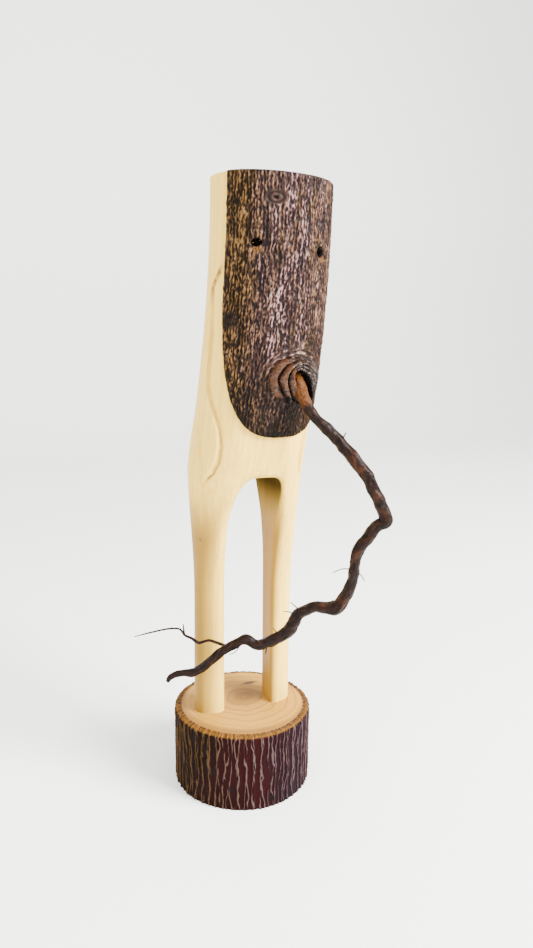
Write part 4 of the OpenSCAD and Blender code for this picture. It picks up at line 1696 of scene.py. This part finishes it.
@dataclass
class RootNose:
    """The long root, with its rootlet and its hairs."""

    base_h: float
    bark: RandomField = field(default_factory=lambda: RandomField(31))
    knobs: tuple[Knob, ...] = (
        Knob((50.2, 60.2, 110.5), 0.4, 2.2), Knob((30.5, 46.5, 64.5), 0.8, 3.0),
        Knob((5, 30.5, 44.5), 0.8, 2.0), Knob((41, 54, 131), 0.5, 2.6), Knob((13, 36, 59), 0.5, 2.5),
        Knob((47, 58.5, 117), 0.4, 2.5), Knob((38, 51.5, 91), 0.5, 1.8), Knob((-6.5, 25, 48), 0.5, 2.2),
        Knob((-30, 13, 27), 0.4, 2.0),
    )

    def spots(self, route: list[tuple]) -> Array:
        """A route's points in the frame, with the thickness as a fourth column."""
        return np.array([(x, -forward, self.base_h + up, thick) for x, forward, up, thick in route], float)

    def line(self, route: list[tuple], gap: float) -> tuple[Array, Array, Array]:
        """A smooth line through a route's points.

        Args:
            route: The route.
            gap: The distance between points along the line.

        Returns:
            The points, the thickness at each and how far along each is.
        """
        ends = self.spots(route)
        ends = np.vstack([2 * ends[0] - ends[1], ends, 2 * ends[-1] - ends[-2]])
        fine = []
        for a, b, c, d in zip(ends, ends[1:], ends[2:], ends[3:]):
            for t in np.arange(0, 1, 0.05):
                fine.append(0.5 * (2 * b + (c - a) * t + (2 * a - 5 * b + 4 * c - d) * t ** 2
                                   + (3 * b - a - 3 * c + d) * t ** 3))
        fine.append(ends[-2])
        fine = np.array(fine)
        along = np.concatenate([[0], np.cumsum(np.linalg.norm(np.diff(fine[:, :3], axis=0), axis=1))])
        steps = np.linspace(0, along[-1], max(int(along[-1] / gap), 4) + 1)
        even = np.stack([np.interp(steps, along, fine[:, k]) for k in range(4)], axis=-1)
        return even[:, :3], even[:, 3], steps

    def frames(self, points: Array) -> tuple[Array, Array]:
        """Two directions across a line, carried along it without twisting.

        Args:
            points: The line's points.

        Returns:
            The two directions at each point.
        """
        ways = np.gradient(points, axis=0)
        ways /= np.linalg.norm(ways, axis=1, keepdims=True)
        side = np.cross(ways[0], (0.3, 0.9, -0.3))
        sides = []
        for way in ways:
            side = side - way * (side @ way)
            side = side / np.linalg.norm(side)
            sides.append(side)
        sides = np.array(sides)
        return sides, np.cross(ways, sides)

    def stem(self, route: list[tuple], sides: int, gap: float, rough: float) -> bmesh.types.BMesh:
        """A tube of bark along a route.

        Args:
            route: The route.
            sides: Cells round the tube.
            gap: The distance between rings.
            rough: How rough the bark is, from 0 to 1.

        Returns:
            The closed tube.
        """
        points, thick, along = self.line(route, gap)
        across, up = self.frames(points)
        last = len(points) - 1

        def place(u: Array, v: Array) -> tuple[Array, dict[str, Array]]:
            """Wraps a sheet round the route.

            Args:
                u: How far round, from 0 to 1.
                v: How far along.

            Returns:
                The points, and the named values of each.
            """
            i = np.rint(v * last).astype(int)
            turn = math.tau * u
            r = thick[i] / 2
            s = along[i]
            x, y = np.cos(turn), np.sin(turn)
            out = across[i] * x[:, None] + up[i] * y[:, None]
            wrinkle = 1 - 2 * np.abs(self.bark.at(x * 1.5 + 3, y * 1.5, s / 6.0))
            scale = 1 - 2 * np.abs(self.bark.at(x * 2.6, y * 2.6 + 9, s / 2.2))
            lumps = self.bark.at(x * 0.7, y * 0.7 + 4, s / 5.0)
            relief = 0.5 * wrinkle + 0.35 * scale
            grow = 1 + rough * (0.24 * lumps + 0.15 * relief)
            p = points[i] + out * (r * grow)[:, None]
            for knob in self.knobs:
                spot = np.array((knob.spot[0], -knob.spot[1], self.base_h + knob.spot[2]))
                near = np.exp(-(((p - spot) / knob.reach) ** 2).sum(-1))
                p = p + out * (knob.swell * rough * near)[:, None]
            grain = np.stack([x * r * 1.4, y * r * 1.4, s], axis=-1)
            start = 1 - smooth_step(s + 2.0 * lumps + 2.5 * y, 19.5, 23.0)
            bare = start * (thick[0] > 3)
            hue = np.clip(0.55 + 0.6 * self.bark.at(x * 0.6, y * 0.6 + 20, s / 14), 0, 1)
            patch = smooth_step(self.bark.layered(x * 0.8 + 40, y * 0.8, s / 9, 2), 0.05, 0.5)
            tone = np.clip(0.42 + 0.5 * relief + 0.15 * lumps, 0, 1)
            return p, bark_values(grain, tone, bare=bare * 0.92, hue=hue, patch=patch)

        bm = grid_bmesh(sides, last, place)
        close_up(bm, 1e-4)
        return bm

    def joined(self, routes: list[list[tuple]], sides: int, gap: float) -> bmesh.types.BMesh:
        """Several thin stems as one mesh.

        Args:
            routes: A route for each.
            sides: Cells round each.
            gap: The distance between rings.

        Returns:
            The mesh.
        """
        whole = bmesh.new()
        for route in routes:
            add_mesh(whole, self.stem(route, sides, gap, 0.5))
        return whole

    def build(self) -> None:
        """Makes the root, its rootlet and its hairs."""
        bark = ROOT_BARK.build()
        finish_piece(self.stem(NOSE_ROUTE, 48, 0.42, 1.0), "nose_root", bark, ("root_nose",), 180)
        rootlets = self.joined([ROOTLET_ROUTE, TWIG_ROUTE], 12, 0.5)
        finish_piece(rootlets, "forked_rootlet", bark, ("side_rootlet",), 180)
        finish_piece(self.joined(HAIR_ROUTES, 8, 0.5), "fine_hairs", bark, ("root_hairs",), 180)


# ---------------------------------------------------------------- the studio


@dataclass(frozen=True)
class Lamp:
    """A square soft light, with its angles in degrees and its distance and width in metres.

    Its turn is round the figure from the front, positive to the figure's left.
    """

    name: str
    turn: float
    rise: float
    reach: float
    size: float
    power: float
    colour: tuple[float, float, float]


@dataclass
class Studio:
    """A pale sweep, soft lights and the camera."""

    lamps: tuple[Lamp, ...] = (
        Lamp("key", 44, 32, 1.2, 0.6, 86, (1.0, 0.985, 0.96)),
        Lamp("fill", -62, 24, 1.5, 1.0, 26, (1.0, 0.99, 0.97)),
        Lamp("top", -10, 80, 1.6, 1.2, 30, (1.0, 1.0, 1.0)),
    )
    bend: float = 500.0
    back: float = 900.0
    front: float = 2500.0
    half_width: float = 3500.0
    wall_h: float = 3000.0
    camera_turn: float = -19.0
    camera_pan: float = -1.91
    camera_tilt: float = 11.86
    camera_roll: float = 0.5
    camera_reach: float = 363.6
    camera_h: float = 241.1
    lens: float = 28.1

    def sweep(self) -> None:
        """A floor that curves up into a backdrop."""
        bm = bmesh.new()
        turns = np.linspace(0, math.pi / 2, 17)
        curve = [(self.back + self.bend * math.sin(t), self.bend * (1 - math.cos(t))) for t in turns]
        side = [(-self.front, 0), *curve, (self.back + self.bend, self.wall_h)]
        verts = [bm.verts.new((-self.half_width, y, z)) for y, z in side]
        edges = [bm.edges.new(pair) for pair in zip(verts, verts[1:])]
        made = bmesh.ops.extrude_edge_only(bm, edges=edges)
        far = made_verts(made)
        bmesh.ops.translate(bm, vec=(2 * self.half_width, 0, 0), verts=far)
        bmesh.ops.recalc_face_normals(bm, faces=bm.faces)
        material, g, shader = start_material("pale paper")
        tooth = g.noise(g.add("TexCoord").outputs["Object"], 90.0, 2)
        tone = g.mix(g.math("MULTIPLY", tooth, 0.05), (0.95, 0.95, 0.93, 1), (0.90, 0.90, 0.88, 1))
        dress(g, shader, tone, 0.8, tooth, 0.02, 0.1)
        to_object(bm, "sweep", material)

    def light(self, lamp: Lamp) -> None:
        """Hangs a lamp, which looks at the middle of the figure.

        Args:
            lamp: The lamp.
        """
        data = bpy.data.lights.new(lamp.name, "AREA")
        data.size = lamp.size
        data.energy = lamp.power
        data.color = lamp.colour
        a, e = math.radians(lamp.turn), math.radians(lamp.rise)
        middle = Vector((0, 0, 0.16))
        way = Vector((math.sin(a) * math.cos(e), -math.cos(a) * math.cos(e), math.sin(e)))
        spot = middle + lamp.reach * way
        holder = bpy.data.objects.new(lamp.name, data)
        holder.location = spot
        holder.rotation_euler = (middle - spot).to_track_quat("-Z", "Y").to_euler()
        bpy.context.scene.collection.objects.link(holder)

    def lights(self) -> None:
        """A broad key light from the camera's right, a weak fill and a pale room."""
        for lamp in self.lamps:
            self.light(lamp)
        world = bpy.data.worlds.new("room")
        bpy.context.scene.world = world
        world.use_nodes = True
        sky = world.node_tree.nodes["Background"]
        sky.inputs["Color"].default_value = (0.92, 0.93, 0.95, 1)
        sky.inputs["Strength"].default_value = 1.0

    def camera(self) -> None:
        """The camera, which looks slightly down at the figure from its right."""
        turn = math.radians(self.camera_turn)
        yaw = math.radians(self.camera_turn + self.camera_pan)
        tilt = math.radians(self.camera_tilt)
        roll = math.radians(self.camera_roll)
        level = Vector((-math.sin(yaw), math.cos(yaw), 0))
        ahead = level * math.cos(tilt) - Vector((0, 0, math.sin(tilt)))
        right = ahead.cross(Vector((0, 0, 1))).normalized()
        up = right.cross(ahead)
        right, up = right * math.cos(roll) + up * math.sin(roll), up * math.cos(roll) - right * math.sin(roll)
        data = bpy.data.cameras.new("camera")
        data.lens = self.lens
        data.sensor_width = 36.0
        data.clip_start = 0.01
        holder = bpy.data.objects.new("camera", data)
        reach = self.camera_reach
        spot = Vector((math.sin(turn) * reach, -math.cos(turn) * reach, self.camera_h)) * MM
        axes = Matrix((right, up, -ahead)).transposed().to_4x4()
        holder.matrix_world = Matrix.Translation(spot) @ axes
        bpy.context.scene.collection.objects.link(holder)
        bpy.context.scene.camera = holder

    def build(self) -> None:
        """Sets up the camera, the lights and the sweep."""
        self.camera()
        self.lights()
        self.sweep()


def main() -> None:
    """Builds the figure in its frame, piece by piece."""
    logging.basicConfig(level=logging.INFO, format="%(message)s")
    wood_low, wood_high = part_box("base_wood")
    bast_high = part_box("base_bast")[1]
    bark_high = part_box("base_bark")[1]
    base_h = wood_high.z / MM
    trunk = Trunk(base_h=base_h, figure_h=263.0)
    Studio().build()
    LogSlice(
        radius=bark_high.x / MM, height=base_h, bark=(bark_high.x - bast_high.x) / MM,
        bast=(bast_high.x - wood_high.x) / MM,
    ).build()
    CarvedFigure(trunk).build()
    face = BarkFace(trunk)
    face.build()
    KnotCollar(trunk, face).build()
    RootNose(base_h).build()


if __name__ == "__main__":
    main()
